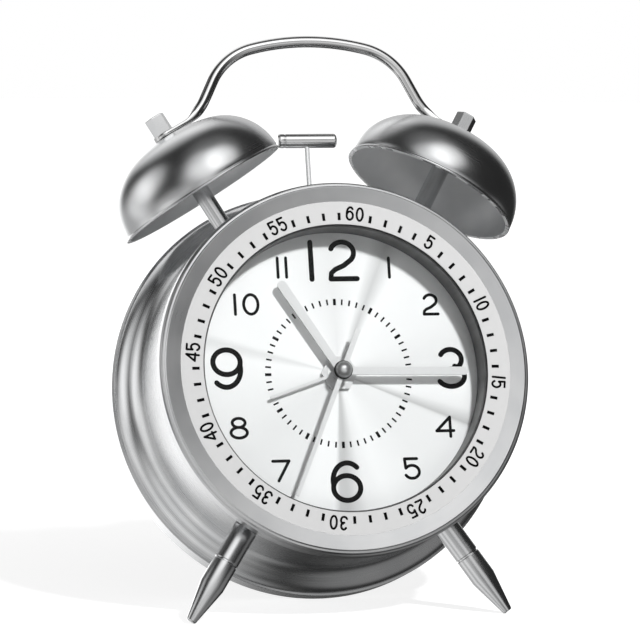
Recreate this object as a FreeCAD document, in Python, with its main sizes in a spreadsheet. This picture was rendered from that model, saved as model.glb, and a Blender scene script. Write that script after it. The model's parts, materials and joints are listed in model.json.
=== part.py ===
"""Twin-bell alarm clock, 4 inch class, as a parametric FreeCAD document (millimetres).

Every piece is drawn in the drum frame: origin at the middle of the dial face, +X to 3 o'clock,
+Z to 12 o'clock and +Y towards the back of the clock.  LEAN then tips the drum back onto its two
feet and its rear rim, which gives the row frame: +Z up, origin on the table under the clock.
"""
import FreeCAD, Part
import math
import os
import Sketcher

SHEET_NAME = "Spreadsheet"
TURN = 360

# Driving dimensions: alias -> value in millimetres, degrees or a count.
SIZES = {
    # stance
    "lean_angle": 16.5, "dial_height": 65.885, "dial_setback": -14.834,
    # case, bezel and front
    "case_front": -7.3, "case_radius": 50.4, "case_waist": 50.9, "case_wall": 0.8,
    "cove_start": 19.0, "cove_end": 25.2, "cove_radius": 53.2, "cove_arc": 9.5,
    "band_end": 31.0, "band_radius": 56.7, "band_arc": 8.0, "groove_end": 31.7,
    "rim_radius": 57.4, "rim_end": 38.6, "rim_round": 0.4, "rim_chamfer": 0.3,
    "bezel_inner": 46.4, "bezel_flat": 50.5, "bezel_radius": 52.0, "bezel_front": -9.6,
    "bezel_back": -4.0, "bezel_step": 0.45, "bezel_lip": 0.45, "bezel_edge": 0.25,
    "bezel_bead": 51.3, "bezel_neck": 51.55, "bezel_neck_at": -8.7, "bezel_neck_end": -8.07,
    "bezel_skirt_at": -7.71,
    "ring_inner": 40.05, "ring_outer": 47.4, "ring_depth": 1.0,
    "lens_radius": 40.0, "lens_depth": 0.9,
    "reflector_radius": 39.5, "reflector_wall": 0.9,
    "dial_radius": 49.5, "dial_depth": 1.0, "clip_inner": 48.2, "clip_depth": 1.2,
    "clip_sweep": 270.0, "case_skirt": -3.5,
    # legs
    "leg_angle": 33.8, "leg_plane": 4.0, "leg_radius": 3.5, "leg_shoulder": 50.75,
    "leg_groove": 61.4, "leg_taper": 69.0, "leg_tip": 80.4, "leg_tip_radius": 1.4,
    "leg_groove_depth": 0.3, "leg_groove_width": 0.6, "stud_radius": 1.5, "stud_end": 46.4,
    "stud_nut_flats": 5.0, "stud_nut_height": 2.4, "stud_nut_seat": 49.4,
    # bells, posts and handle
    "bell_angle": 30.0, "bell_plane": 12.4, "bell_pole": -3.0, "bell_rim_at": 65.0,
    "bell_height": 19.2, "bell_rim": 24.8, "bell_widest": 24.95, "bell_widest_at": 1.4,
    "bell_shoulder": 16.6, "bell_wall": 1.0, "bell_bead": 0.25, "bell_flat": 3.0,
    "post_radius": 2.5, "post_foot": 53.55,
    "bolt_radius": 1.5, "cap_nut_flats": 5.2, "cap_nut_height": 5.2, "cap_nut_bore": 4.4,
    "lug_radius": 3.5, "lug_depth": 1.4, "lug_reach": 11.0, "lug_end_arc": 3.57,
    "rod_radius": 1.6,
    "rod_level": 85.0, "rod_start": 8.3, "elbow_run": 11.3, "handle_leg": 18.9,
    "handle_slope": 63.7, "elbow_radius": 16.8, "shoulder_radius": 17.8, "arch_angle": 14.3,
    # hammer and its striker
    "hammer_plane": 20.0, "hammer_height": 70.4, "hammer_length": 17.0, "hammer_radius": 2.05,
    "hammer_round": 0.8, "stem_radius": 0.7, "stem_foot": 44.5, "socket_end": 47.1,
    "pivot_height": 42.5, "pivot_radius": 1.0, "running_gap": 0.05,
    "boss_radius": 2.4, "boss_depth": 4.0, "armature_drop": 8.6, "armature_width": 3.0,
    "pin_head": 1.8, "pin_head_front": 16.4, "pin_head_back": 17.4, "pin_front": 17.2,
    "pole_gap": 3.5, "pole_width": 3.0, "pole_top": 38.0, "yoke_foot": 28.0,
    "bobbin_radius": 2.9, "core_radius": 1.3, "core_height": 30.3,
    "slot_width": 5.8, "slot_depth": 2.6,
    "bracket_width": 26.0, "bracket_foot": 27.0, "bracket_front": 23.0, "bracket_depth": 1.2,
    "bracket_radius": 50.9,
    # back cover, knobs, battery
    "cover_radius": 56.5, "cover_front": 32.4, "cover_depth": 1.6,
    "boss_circle": 51.6, "cover_boss_radius": 2.6, "cover_boss_depth": 3.8,
    "screw_radius": 1.0, "screw_head": 2.0, "screw_head_depth": 1.2,
    "tray_width": 54.6, "tray_foot": -41.4, "tray_head": -24.6, "tray_front": 17.3,
    "tray_wall": 1.0, "cell_radius": 7.1, "cell_length": 49.0, "cell_nub": 2.7,
    "cell_height": -33.0, "cell_plane": 25.2, "door_gap": 0.35, "door_pin": 0.5,
    "hinge_reach": 1.4, "hinge_bore_reach": 1.6, "door_ledge": 0.5, "tray_floor": 0.8,
    "screw_slot_length": 3.0, "screw_slot_width": 0.5, "screw_slot_depth": 0.5,
    "spring_reach": 2.4, "spring_wire": 0.35, "spring_radius": 3.6, "cell_nub_length": 0.9,
    "contact_depth": 0.3, "contact_half": 4.0,
    "knob_front": 34.6, "knob_depth": 7.6,
    "switch_height": 30.0, "switch_travel": 5.0, "switch_slot_half": 1.9,
    "switch_slot_end": 0.6,
    "tab_half_width": 1.8, "tab_half_height": 1.5, "tab_shoulder": 0.4, "tab_stands": 3.0,
    "tab_depth": 2.7, "tab_clearance": 0.3, "housing_half_width": 9.0,
    "housing_half_height": 4.0, "housing_depth": 5.0, "housing_room": 3.0,
    "housing_side_room": 0.8, "housing_top_room": 2.2,
    # movement
    "plate_width": 54.0, "plate_foot": -27.0, "plate_head": 24.0, "plate_depth": 1.6,
    "movement_back": 17.0, "movement_wall": 1.2, "bush_radius": 3.5, "bush_front": -1.2,
    "fixing_nut_flats": 9.0, "fixing_nut_depth": 1.1, "shaft_margin": 0.1,
    "pivot_pocket": 0.7, "train_end_gap": 0.3,
    # wheels: module, front and depth of the teeth, end of the tube or shaft
    "module": 0.4, "hour_module": 0.384, "second_module": 0.36, "knob_module": 0.461538,
    "cannon_front": 6.7, "cannon_depth": 2.0, "cannon_end": 9.0,
    "hour_wheel_front": 4.75, "hour_wheel_depth": 1.0, "hour_wheel_end": 6.2,
    "alarm_wheel_front": 3.2, "alarm_wheel_depth": 0.9, "alarm_wheel_end": 4.2,
    "second_wheel_front": 10.6, "second_wheel_depth": 0.8, "second_wheel_end": 12.1,
    "setting_front": 7.1, "setting_depth": 1.0, "setting_shaft_front": 6.3,
    "setting_pinion_front": 4.5, "setting_pinion_depth": 1.8,
    "alarm_pinion_front": 3.0, "alarm_pinion_depth": 1.4, "alarm_shaft_front": 4.4,
    "knob_shaft_radius": 0.6, "knob_shaft_set_in": 1.0,
    "third_pinion_front": 10.1, "third_pinion_depth": 2.4, "third_wheel_front": 12.5,
    "third_wheel_depth": 0.8, "third_shaft_radius": 0.5, "third_shaft_front": 9.4,
    "rotor_pinion_front": 12.3, "rotor_pinion_depth": 1.2, "rotor_shaft_radius": 0.4,
    "rotor_shaft_front": 7.4, "magnet_radius": 1.9, "magnet_front": 8.0, "magnet_back": 10.2,
    # stator, coil and board
    "stator_front": 8.6, "stator_back": 9.8, "stator_half": 4.0, "stator_reach": 3.6,
    "stator_foot": -14.0, "stator_gap": 0.5, "core_half": 1.0, "coil_centre": 21.0,
    "coil_plane": 9.2, "coil_radius": 3.2, "coil_foot": -11.0, "coil_head": 4.5,
    "board_left": -22.0, "board_right": 16.0, "board_foot": -24.8, "board_head": -12.0,
    "board_front": 13.6, "board_back": 14.6, "board_post_radius": 1.2,
    "board_post_left": -20.0, "board_post_right": 14.0, "board_post_high": -14.0,
    "board_post_low": -23.0, "crystal_radius": 1.1, "crystal_left": -16.0,
    "crystal_right": -9.0, "crystal_plane": 12.5, "crystal_height": -20.0,
    # hands
    "tube_wall": 0.45, "arbor_radius": 0.45, "hand_depth": 0.35,
    "alarm_level": -1.75, "hour_level": -2.85, "minute_level": -3.8, "second_level": -5.35,
    "alarm_reach": 21.3, "hour_reach": 30.0, "minute_reach": 36.0, "second_reach": 37.7,
    "second_tail": 12.4, "ball_radius": 2.6, "ball_level": -5.2,
    "alarm_angle": 251.5, "hour_angle": 328.0, "minute_angle": 91.0, "second_angle": 203.6,
    "alarm_half": 0.45, "hour_root": 1.15, "hour_tip": 1.35, "minute_root": 1.1,
    "minute_tip": 1.15, "second_root": 0.75, "second_tip": 0.5, "tip_arc_ratio": 1.02,
    "alarm_hub": 2.5, "hour_hub": 2.3, "minute_hub": 2.1, "second_hub": 1.7, "ball_foot": 1.1,
}

# Teeth of each wheel and pinion.
CANNON_TEETH, SETTING_TEETH, SETTING_PINION_TEETH, HOUR_TEETH = 12, 36, 10, 40
ALARM_PINION_TEETH, ALARM_TEETH = 10, 40
SECOND_TEETH, THIRD_PINION_TEETH, THIRD_TEETH, ROTOR_TEETH = 40, 8, 48, 8
KNOB_RIBS = 24

# Depth of a tooth and of a knob's rib, and the gap between teeth at tip and foot, in modules
# and in parts of the pitch.
TOOTH_DEPTH, RIB_DEPTH = 2.25, 1.2
TIP_LAND, FOOT_LAND = 0.22, 0.52

# Turns of single pieces about their own axis, in degrees.
CLIP_TURN = 135
SETTING_MESH, SETTING_PINION_MESH, THIRD_MESH = 5, 18, 22.5
SCREW_ANGLES = (60, 180, 300)
SPRING_COILS = 3


class Size:
    """A size of the sheet, or a formula of several, kept with its present value."""

    def __init__(self, formula, value):
        self.formula = formula
        self.value = value

    def joined(self, other, sign, swapped=False):
        left, right = (other, self) if swapped else (self, other)
        a, b = number(left), number(right)
        result = {"+": a + b, "-": a - b, "*": a * b, "/": a / b if b else 0.0}[sign]
        return Size(f"({text(left)} {sign} {text(right)})", result)

    def __add__(self, other):
        return self.joined(other, "+")

    def __radd__(self, other):
        return self.joined(other, "+", True)

    def __sub__(self, other):
        return self.joined(other, "-")

    def __rsub__(self, other):
        return self.joined(other, "-", True)

    def __mul__(self, other):
        return self.joined(other, "*")

    def __rmul__(self, other):
        return self.joined(other, "*", True)

    def __truediv__(self, other):
        return self.joined(other, "/")

    def __neg__(self):
        return 0 - self


def number(size):
    return size.value if isinstance(size, Size) else float(size)


def text(size):
    return size.formula if isinstance(size, Size) else repr(float(size))


def sine(angle):
    return Size(f"sin({text(angle)})", math.sin(math.radians(number(angle))))


def cosine(angle):
    return Size(f"cos({text(angle)})", math.cos(math.radians(number(angle))))


def tangent(angle):
    return Size(f"tan({text(angle)})", math.tan(math.radians(number(angle))))


def root(size):
    return Size(f"sqrt({text(size)})", math.sqrt(number(size)))


class Sheet:
    """The driving dimensions, read as attributes: d.case_radius is a Size."""

    def __init__(self, document, sizes):
        self.table = document.addObject("Spreadsheet::Sheet", SHEET_NAME)
        self.sizes = {}
        for row, (alias, value) in enumerate(sizes.items(), start=1):
            self.table.set(f"A{row}", alias.replace("_", " "))
            self.table.set(f"B{row}", str(value))
            self.table.setAlias(f"B{row}", alias)
            self.sizes[alias] = Size(f"{SHEET_NAME}.{alias}", value)
        document.recompute()

    def __getattr__(self, alias):
        return self.sizes[alias]


doc = FreeCAD.newDocument("twin_bell_alarm_clock")
d = Sheet(doc, SIZES)
pieces = []


# ---------------------------------------------------------------- placing and binding

LEAN = FreeCAD.Placement(
    FreeCAD.Vector(0, number(d.dial_setback), number(d.dial_height)),
    FreeCAD.Rotation(FreeCAD.Vector(1, 0, 0), -number(d.lean_angle)))


def shifted(x=0, y=0, z=0):
    return FreeCAD.Placement(FreeCAD.Vector(number(x), number(y), number(z)), FreeCAD.Rotation())


def dial_axis(x=0, y=0, z=0, turn=0):
    """Local +Z runs to the back of the clock from (x, y, z)."""
    facing = FreeCAD.Rotation(FreeCAD.Vector(1, 0, 0), -90)
    spin = FreeCAD.Rotation(FreeCAD.Vector(0, 0, 1), turn)
    return FreeCAD.Placement(FreeCAD.Vector(number(x), number(y), number(z)), facing * spin)


def spoke(angle, y=0, z=0):
    """Local +Z points from (0, y, z) across the face, angle degrees clockwise of 12 o'clock."""
    lie = FreeCAD.Rotation(FreeCAD.Vector(0, 1, 0), number(angle))
    return FreeCAD.Placement(FreeCAD.Vector(0, number(y), number(z)), lie)


def bind(thing, **values):
    for name, size in values.items():
        path = name.replace("__", ".")
        if isinstance(size, Size):
            thing.setExpression(path, size.formula)
        else:
            setattr(thing, path, size)


def keep(label, thing, place=None):
    """Name a finished piece and set it in the leaning drum, at its place there."""
    thing.Label = label
    for letter in "xyz":
        thing.setExpression("Placement.Base." + letter, None)
    thing.Placement = LEAN * (place or thing.Placement)
    pieces.append(thing)
    return thing


# ---------------------------------------------------------------- sketches and PartDesign bodies

def origin_plane(body, role):
    return [plane for plane in body.Origin.OriginFeatures if plane.Role == role][0]


def pin_point(sketch, index, end, x, y):
    """Hold one point of the sketch at (x, y), bound to the sheet."""
    for size, kind, axis in ((x, "DistanceX", -2), (y, "DistanceY", -1)):
        if number(size) == 0:
            sketch.addConstraint(Sketcher.Constraint("PointOnObject", index, end, axis))
            continue
        held = sketch.addConstraint(
            Sketcher.Constraint(kind, -1, 1, index, end, number(size)))
        if isinstance(size, Size):
            sketch.setExpression(f"Constraints[{held}]", size.formula)


def arc_between(start, end, radius):
    """Arc from start to end; a positive radius turns anticlockwise, a negative one clockwise."""
    chord = end - start
    middle = (start + end) * 0.5
    rise = math.sqrt(max(radius ** 2 - chord.Length ** 2 / 4, 0))
    side = FreeCAD.Vector(-chord.y, chord.x, 0).normalize() * (rise if radius > 0 else -rise)
    circle = Part.Circle(middle + side, FreeCAD.Vector(0, 0, 1), abs(radius))
    first, last = (start, end) if radius > 0 else (end, start)
    return Part.ArcOfCircle(circle, circle.parameter(first), circle.parameter(last))


def draw_outline(sketch, corners, closed=True):
    """Lines and arcs through (x, y) corners; a third value makes the next edge an arc."""
    points = [FreeCAD.Vector(number(c[0]), number(c[1]), 0) for c in corners]
    edges = []
    count = len(corners) if closed else len(corners) - 1
    for i in range(count):
        start, end = points[i], points[(i + 1) % len(points)]
        if len(corners[i]) == 3:
            radius = corners[i][2]
            index = sketch.addGeometry(arc_between(start, end, number(radius)))
            ends = (1, 2) if number(radius) > 0 else (2, 1)
            held = sketch.addConstraint(
                Sketcher.Constraint("Radius", index, abs(number(radius))))
            if isinstance(radius, Size):
                sketch.setExpression(f"Constraints[{held}]", f"abs({radius.formula})")
        else:
            index = sketch.addGeometry(Part.LineSegment(start, end))
            ends = (1, 2)
        edges.append((index, ends))
    for i, corner in enumerate(corners[:count]):
        index, ends = edges[i]
        pin_point(sketch, index, ends[0], corner[0], corner[1])
        if closed or i:
            before, before_ends = edges[i - 1]
            sketch.addConstraint(
                Sketcher.Constraint("Coincident", before, before_ends[1], index, ends[0]))
    if not closed:
        index, ends = edges[-1]
        pin_point(sketch, index, ends[1], corners[-1][0], corners[-1][1])


def draw_circle(sketch, x, y, radius):
    centre = FreeCAD.Vector(number(x), number(y), 0)
    index = sketch.addGeometry(Part.Circle(centre, FreeCAD.Vector(0, 0, 1), number(radius)))
    held = sketch.addConstraint(Sketcher.Constraint("Radius", index, number(radius)))
    if isinstance(radius, Size):
        sketch.setExpression(f"Constraints[{held}]", radius.formula)
    pin_point(sketch, index, 3, x, y)


def new_sketch(body, role, name):
    sketch = body.newObject("Sketcher::SketchObject", name)
    sketch.AttachmentSupport = [(origin_plane(body, role), "")]
    sketch.MapMode = "FlatFace"
    return sketch


def turned(label, corners, place=dial_axis()):
    """A piece turned about its own +Z from a closed (radius, height) outline."""
    body = doc.addObject("PartDesign::Body", label)
    sketch = new_sketch(body, "XZ_Plane", label + "_profile")
    draw_outline(sketch, corners)
    turning = body.newObject("PartDesign::Revolution", label + "_turning")
    turning.Profile = sketch
    turning.ReferenceAxis = (sketch, ["V_Axis"])
    turning.Angle = TURN
    return keep(label, body, place)


def plate(label, corners, depth, place, holes=(), lift=0):
    """A flat piece cut to an outline in its own XY plane and as deep as depth along +Z."""
    body = doc.addObject("PartDesign::Body", label)
    sketch = new_sketch(body, "XY_Plane", label + "_outline")
    draw_outline(sketch, corners)
    for hole in holes:
        draw_circle(sketch, *hole)
    pad = body.newObject("PartDesign::Pad", label + "_pad")
    pad.Profile = sketch
    bind(pad, Length=depth)
    return keep(label, body, place * shifted(z=lift))


def rectangle(left, bottom, right, top):
    return [(left, bottom), (right, bottom), (right, top), (left, top)]


# ---------------------------------------------------------------- Part primitives

def primitive(kind, x=0, y=0, z=0, turn=None, **sizes):
    thing = doc.addObject("Part::" + kind, kind.lower())
    if turn:
        axis, angle = turn
        thing.Placement = FreeCAD.Placement(
            FreeCAD.Vector(), FreeCAD.Rotation(FreeCAD.Vector(*axis), angle))
    bind(thing, **sizes)
    thing.Placement.Base = FreeCAD.Vector(number(x), number(y), number(z))
    for letter, size in (("x", x), ("y", y), ("z", z)):
        if isinstance(size, Size):
            thing.setExpression("Placement.Base." + letter, size.formula)
    return thing


def box(x0, y0, z0, x1, y1, z1):
    return primitive("Box", x0, y0, z0, Length=x1 - x0, Width=y1 - y0, Height=z1 - z0)


ALONG_Y = ((1, 0, 0), -90)
ALONG_X = ((0, 1, 0), 90)


def rod_y(radius, x, y0, z, y1):
    return primitive("Cylinder", x, y0, z, ALONG_Y, Radius=radius, Height=y1 - y0)


def rod_x(radius, x0, y, z, x1):
    return primitive("Cylinder", x0, y, z, ALONG_X, Radius=radius, Height=x1 - x0)


def rod_z(radius, x, y, z0, z1):
    return primitive("Cylinder", x, y, z0, None, Radius=radius, Height=z1 - z0)


def fuse(*parts):
    joined = doc.addObject("Part::MultiFuse", "fuse")
    joined.Shapes = list(parts)
    joined.Refine = True
    return joined


def cut(base, *tools):
    result = doc.addObject("Part::Cut", "cut")
    result.Base = base
    result.Tool = tools[0] if len(tools) == 1 else fuse(*tools)
    return result


def common(first, second):
    result = doc.addObject("Part::MultiCommon", "common")
    result.Shapes = [first, second]
    return result


# ---------------------------------------------------------------- toothed wheels

def toothed(label, teeth, module, depth, bore, place, tooth_depth=TOOTH_DEPTH):
    """Straight-sided teeth round a bore, for a later fuse; a tooth space lies on local +X."""
    pitch = math.pi * module
    tip = module * (teeth / 2 + 1)
    foot = tip - module * tooth_depth
    tip_space = (2 * math.pi / teeth * tip - TIP_LAND * pitch) / 2
    foot_space = (2 * math.pi / teeth * foot - FOOT_LAND * pitch) / 2
    body = doc.addObject("PartDesign::Body", label)
    blank_sketch = new_sketch(body, "XY_Plane", label + "_blank")
    draw_circle(blank_sketch, 0, 0, tip)
    draw_circle(blank_sketch, 0, 0, bore)
    blank = body.newObject("PartDesign::Pad", label + "_pad")
    blank.Profile = blank_sketch
    bind(blank, Length=depth)
    space_sketch = new_sketch(body, "XY_Plane", label + "_space")
    beyond = tip + module
    draw_outline(space_sketch, [
        (foot, -foot_space), (tip, -tip_space), (beyond, -tip_space),
        (beyond, tip_space), (tip, tip_space), (foot, foot_space)])
    space = body.newObject("PartDesign::Pocket", label + "_gap")
    space.Profile = space_sketch
    space.Type = "ThroughAll"
    space.Reversed = True
    ring = body.newObject("PartDesign::PolarPattern", label + "_ring")
    ring.Originals = [space]
    ring.Axis = (space_sketch, ["N_Axis"])
    ring.Angle = TURN
    ring.Occurrences = teeth
    body.Tip = ring
    body.Placement = place
    return body


def drill(radius, place, start, end):
    """A round tool along the local +Z of a place."""
    tool = doc.addObject("Part::Cylinder", "drill")
    bind(tool, Radius=radius, Height=end - start)
    tool.Placement = place * shifted(z=start)
    return tool


def hex_prism(flats, place, start, end):
    prism = doc.addObject("Part::Prism", "hex")
    bind(prism, Circumradius=flats / math.sqrt(3), Height=end - start)
    prism.Polygon = 6
    prism.Placement = place * shifted(z=start)
    return prism


def revolved(label, corners, place):
    """A turned piece that a later cut or fuse uses, so it isn't kept by itself."""
    body = turned(label, corners, place)
    pieces.pop()
    body.Label = label + "_blank"
    body.Placement = place
    return body


SIDES = {"left": -1, "right": 1}
leg_places = {side: spoke(180 - sign * d.leg_angle, d.leg_plane) for side, sign in SIDES.items()}
bell_places = {side: spoke(sign * d.bell_angle, d.bell_plane, d.bell_pole)
               for side, sign in SIDES.items()}


# ---------------------------------------------------------------- case, bezel and front

case_inner = d.case_radius - d.case_wall
case_blank = revolved("case_shell", [
    (d.case_radius, d.case_front),
    (d.case_radius, d.case_skirt),
    (d.case_waist, d.cove_start, -d.cove_arc),
    (d.cove_radius, d.cove_end, d.band_arc),
    (d.band_radius, d.band_end),
    (d.band_radius, d.groove_end),
    (d.rim_radius, d.groove_end + d.rim_chamfer),
    (d.rim_radius, d.rim_end - d.rim_round, d.rim_round),
    (d.rim_radius - d.rim_round, d.rim_end),
    (d.rim_radius - d.case_wall, d.rim_end),
    (d.rim_radius - d.case_wall, d.cover_front),
    (d.band_radius - d.case_wall, d.cover_front),
    (d.band_radius - d.case_wall, d.band_end, d.case_wall - d.band_arc),
    (d.cove_radius - d.case_wall, d.cove_end, d.cove_arc + d.case_wall),
    (d.case_waist - d.case_wall, d.cove_start),
    (case_inner, d.case_skirt),
    (case_inner, d.case_front),
], dial_axis())
slot = box(-d.slot_width / 2, d.hammer_plane - d.slot_depth / 2, d.pivot_height,
           d.slot_width / 2, d.hammer_plane + d.slot_depth / 2, d.rim_radius)
stud_holes = [drill(d.stud_radius, place, d.stud_end, d.rim_radius)
              for place in (*leg_places.values(), *bell_places.values())]
keep("case_shell", cut(case_blank, slot, *stud_holes))

ring_front = d.bezel_front + d.bezel_lip
ring_back = ring_front + d.ring_depth
turned("bezel_ring", [
    (d.bezel_inner, ring_front),
    (d.bezel_inner, d.bezel_front),
    (d.bezel_flat, d.bezel_front),
    (d.bezel_flat + d.bezel_edge, d.bezel_front + d.bezel_step),
    (d.bezel_bead, d.bezel_front + d.bezel_step),
    (d.bezel_neck, d.bezel_neck_at),
    (d.bezel_neck, d.bezel_neck_end),
    (d.bezel_radius, d.bezel_skirt_at),
    (d.bezel_radius, d.bezel_back),
    (d.case_radius, d.bezel_back),
    (d.case_radius, ring_back),
    (d.ring_outer, ring_back),
    (d.ring_outer, ring_front),
])
turned("chapter_ring", rectangle(d.ring_inner, ring_front, d.ring_outer, ring_back))
turned("dial_reflector", [
    (d.reflector_radius, 0),
    (d.reflector_radius + d.reflector_wall, 0),
    (d.reflector_radius + d.reflector_wall, d.case_front),
    (d.case_radius, d.case_front),
    (d.case_radius, ring_back),
    (d.reflector_radius, ring_back),
])
turned("glass_lens", rectangle(0, ring_back - d.lens_depth, d.lens_radius, ring_back))
turned("dial_plate", rectangle(d.bush_radius, 0, d.dial_radius, d.dial_depth))
clip = turned("dial_retaining_clip", rectangle(
    d.clip_inner, d.dial_depth, case_inner, d.dial_depth + d.clip_depth),
    dial_axis(turn=CLIP_TURN))
bind(clip.Tip, Angle=d.clip_sweep)


# ---------------------------------------------------------------- legs

for side, place in leg_places.items():
    turned("leg_" + side, [
        (0, d.stud_end),
        (d.stud_radius, d.stud_end),
        (d.stud_radius, d.leg_shoulder),
        (d.leg_radius, d.leg_shoulder),
        (d.leg_radius, d.leg_groove - d.leg_groove_width / 2),
        (d.leg_radius - d.leg_groove_depth, d.leg_groove - d.leg_groove_width / 2),
        (d.leg_radius - d.leg_groove_depth, d.leg_groove + d.leg_groove_width / 2),
        (d.leg_radius, d.leg_groove + d.leg_groove_width / 2),
        (d.leg_radius, d.leg_taper),
        (d.leg_tip_radius, d.leg_tip - d.leg_groove_depth),
        (d.leg_tip_radius - d.leg_groove_depth, d.leg_tip),
        (0, d.leg_tip),
    ], place)


# ---------------------------------------------------------------- bells, posts and nuts

shoulder_centre = d.bell_widest - d.bell_shoulder
crown_rise = d.bell_height - d.bell_widest_at
crown_radius = ((shoulder_centre * shoulder_centre + crown_rise * crown_rise
                 - d.bell_shoulder * d.bell_shoulder) / (2 * (crown_rise - d.bell_shoulder)))
crown_centre = d.bell_height - crown_radius
blend_share = crown_radius - d.bell_shoulder


def crown_point(radius):
    """Where the crown arc of the given radius meets the shoulder arc."""
    reach = radius / blend_share
    return (shoulder_centre * reach,
            crown_centre + (d.bell_widest_at - crown_centre) * reach)


def crown_height(radius, at):
    return crown_centre + root(radius * radius - at * at)


bell_top = crown_height(crown_radius, d.bell_flat)
bell_roof = crown_height(crown_radius - d.bell_wall, d.bell_flat)
inner_crown = crown_radius - d.bell_wall
bell_outline = [
    (d.bolt_radius, bell_top),
    (d.bell_flat, bell_top, -crown_radius),
    (*crown_point(crown_radius), -d.bell_shoulder),
    (d.bell_widest, d.bell_widest_at),
    (d.bell_rim, 3 * d.bell_bead),
    (d.bell_rim + d.bell_bead, 2 * d.bell_bead),
    (d.bell_rim + d.bell_bead, 0),
    (d.bell_rim - d.bell_wall, 0),
    (d.bell_widest - d.bell_wall, d.bell_widest_at, d.bell_shoulder - d.bell_wall),
    (*crown_point(inner_crown), inner_crown),
    (d.bell_flat, bell_roof),
    (d.bolt_radius, bell_roof),
]
lug_seat = d.bell_rim_at + bell_top
bolt_end = lug_seat + d.lug_depth + d.cap_nut_bore
nut_seat = lug_seat + d.lug_depth
stud_nuts = []
for side, place in bell_places.items():
    turned("bell_" + side, bell_outline, place * shifted(z=d.bell_rim_at))
    turned("bell_post_" + side, [
        (0, d.stud_end),
        (d.stud_radius, d.stud_end),
        (d.stud_radius, d.post_foot),
        (d.post_radius, d.post_foot),
        (d.post_radius, d.bell_rim_at + bell_roof),
        (d.bolt_radius, d.bell_rim_at + bell_roof),
        (d.bolt_radius, bolt_end),
        (0, bolt_end),
    ], place)
    nut_blank = hex_prism(d.cap_nut_flats, place, nut_seat, nut_seat + d.cap_nut_height)
    keep("cap_nut_" + side, cut(nut_blank, drill(d.bolt_radius, place, nut_seat, bolt_end)))

for place in (*leg_places.values(), *bell_places.values()):
    nut_blank = hex_prism(
        d.stud_nut_flats, place, d.stud_nut_seat - d.stud_nut_height, d.stud_nut_seat)
    stud_nuts.append(cut(nut_blank, drill(d.stud_radius, place, d.stud_end, d.rim_radius)))
keep("stud_nuts", fuse(*stud_nuts))


# ---------------------------------------------------------------- handle

def along(point, distance, angle):
    """The point moved towards the middle and up by a distance at an angle above level."""
    return (point[0] - distance * cosine(angle), point[1] + distance * sine(angle))


foot = (d.rod_level * sine(d.bell_angle), d.bell_pole + d.rod_level * cosine(d.bell_angle))
elbow = along(foot, d.elbow_run, d.bell_angle)
shoulder = along(elbow, d.handle_leg, d.handle_slope)
elbow_tangent = d.elbow_radius * tangent((d.handle_slope - d.bell_angle) / 2)
shoulder_tangent = d.shoulder_radius * tangent((d.handle_slope - d.arch_angle) / 2)
arch_end = along(shoulder, shoulder_tangent, d.arch_angle)
arch_top = arch_end[1] + arch_end[0] * tangent(d.arch_angle / 2)
arch_radius = arch_end[0] / sine(d.arch_angle)
rod_body = doc.addObject("PartDesign::Body", "handle_rod")
route = new_sketch(rod_body, "XZ_Plane", "handle_route")
draw_outline(route, [
    (0, arch_top, -arch_radius),
    (*arch_end, -d.shoulder_radius),
    along(shoulder, -shoulder_tangent, d.handle_slope),
    (*along(elbow, elbow_tangent, d.handle_slope), d.elbow_radius),
    along(elbow, -elbow_tangent, d.bell_angle),
    foot,
], closed=False)
section = new_sketch(rod_body, "YZ_Plane", "handle_section")
draw_circle(section, 0, arch_top, d.rod_radius)
rod = rod_body.newObject("PartDesign::AdditivePipe", "handle_pipe")
rod.Profile = section
rod.Spine = route
mirrored = rod_body.newObject("PartDesign::Mirrored", "handle_mirrored")
mirrored.Originals = [rod]
mirrored.MirrorPlane = (origin_plane(rod_body, "YZ_Plane"), [""])
rod_body.Tip = mirrored
rod_body.Placement = shifted(y=d.bell_plane)
clear_feet = [drill(d.rod_start, place, d.bell_rim_at, 2 * d.rim_radius)
              for place in bell_places.values()]
lugs = []
for side, sign in SIDES.items():
    reach = -sign * d.lug_reach
    ends = [(0, -d.lug_radius, sign * d.lug_end_arc), (0, d.lug_radius)]
    neck = [(reach, d.rod_radius), (reach, -d.rod_radius)]
    lug = plate("lug_" + side, ends + neck, d.lug_depth, bell_places[side],
                [(0, 0, d.bolt_radius)], lug_seat)
    pieces.pop()
    lug.Placement = bell_places[side] * shifted(z=lug_seat)
    lugs.append(lug)
keep("handle", fuse(cut(rod_body, *clear_feet), *lugs))


# ---------------------------------------------------------------- hammer and its striker

pivot = d.pivot_height
head_end = d.hammer_length / 2
head_blank = revolved("hammer_head", [
    (0, -head_end),
    (d.hammer_radius - d.hammer_round, -head_end, d.hammer_round),
    (d.hammer_radius, d.hammer_round - head_end),
    (d.hammer_radius, head_end - d.hammer_round, d.hammer_round),
    (d.hammer_radius - d.hammer_round, head_end),
    (0, head_end),
], shifted(y=d.hammer_plane, z=d.hammer_height) * spoke(90))
keep("hammer_head", cut(head_blank, rod_z(
    d.stem_radius, 0, d.hammer_plane, d.socket_end, d.hammer_height)))
keep("hammer_stem", rod_z(
    d.stem_radius, 0, d.hammer_plane, d.stem_foot, d.hammer_height))
boss_front = d.hammer_plane - d.boss_depth / 2
boss_back = d.hammer_plane + d.boss_depth / 2
lever_solid = fuse(
    rod_y(d.boss_radius, 0, boss_front, pivot, boss_back),
    rod_z(d.armature_width / 2, 0, d.hammer_plane, pivot, d.socket_end),
    box(-d.armature_width / 2, boss_front, pivot - d.armature_drop,
        d.armature_width / 2, boss_back, pivot))
keep("hammer_lever", cut(
    lever_solid,
    rod_y(d.pivot_radius + d.running_gap, 0, boss_front, pivot, boss_back),
    rod_z(d.stem_radius, 0, d.hammer_plane, d.stem_foot, d.socket_end)))
bracket_back = d.bracket_front + d.bracket_depth
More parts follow.
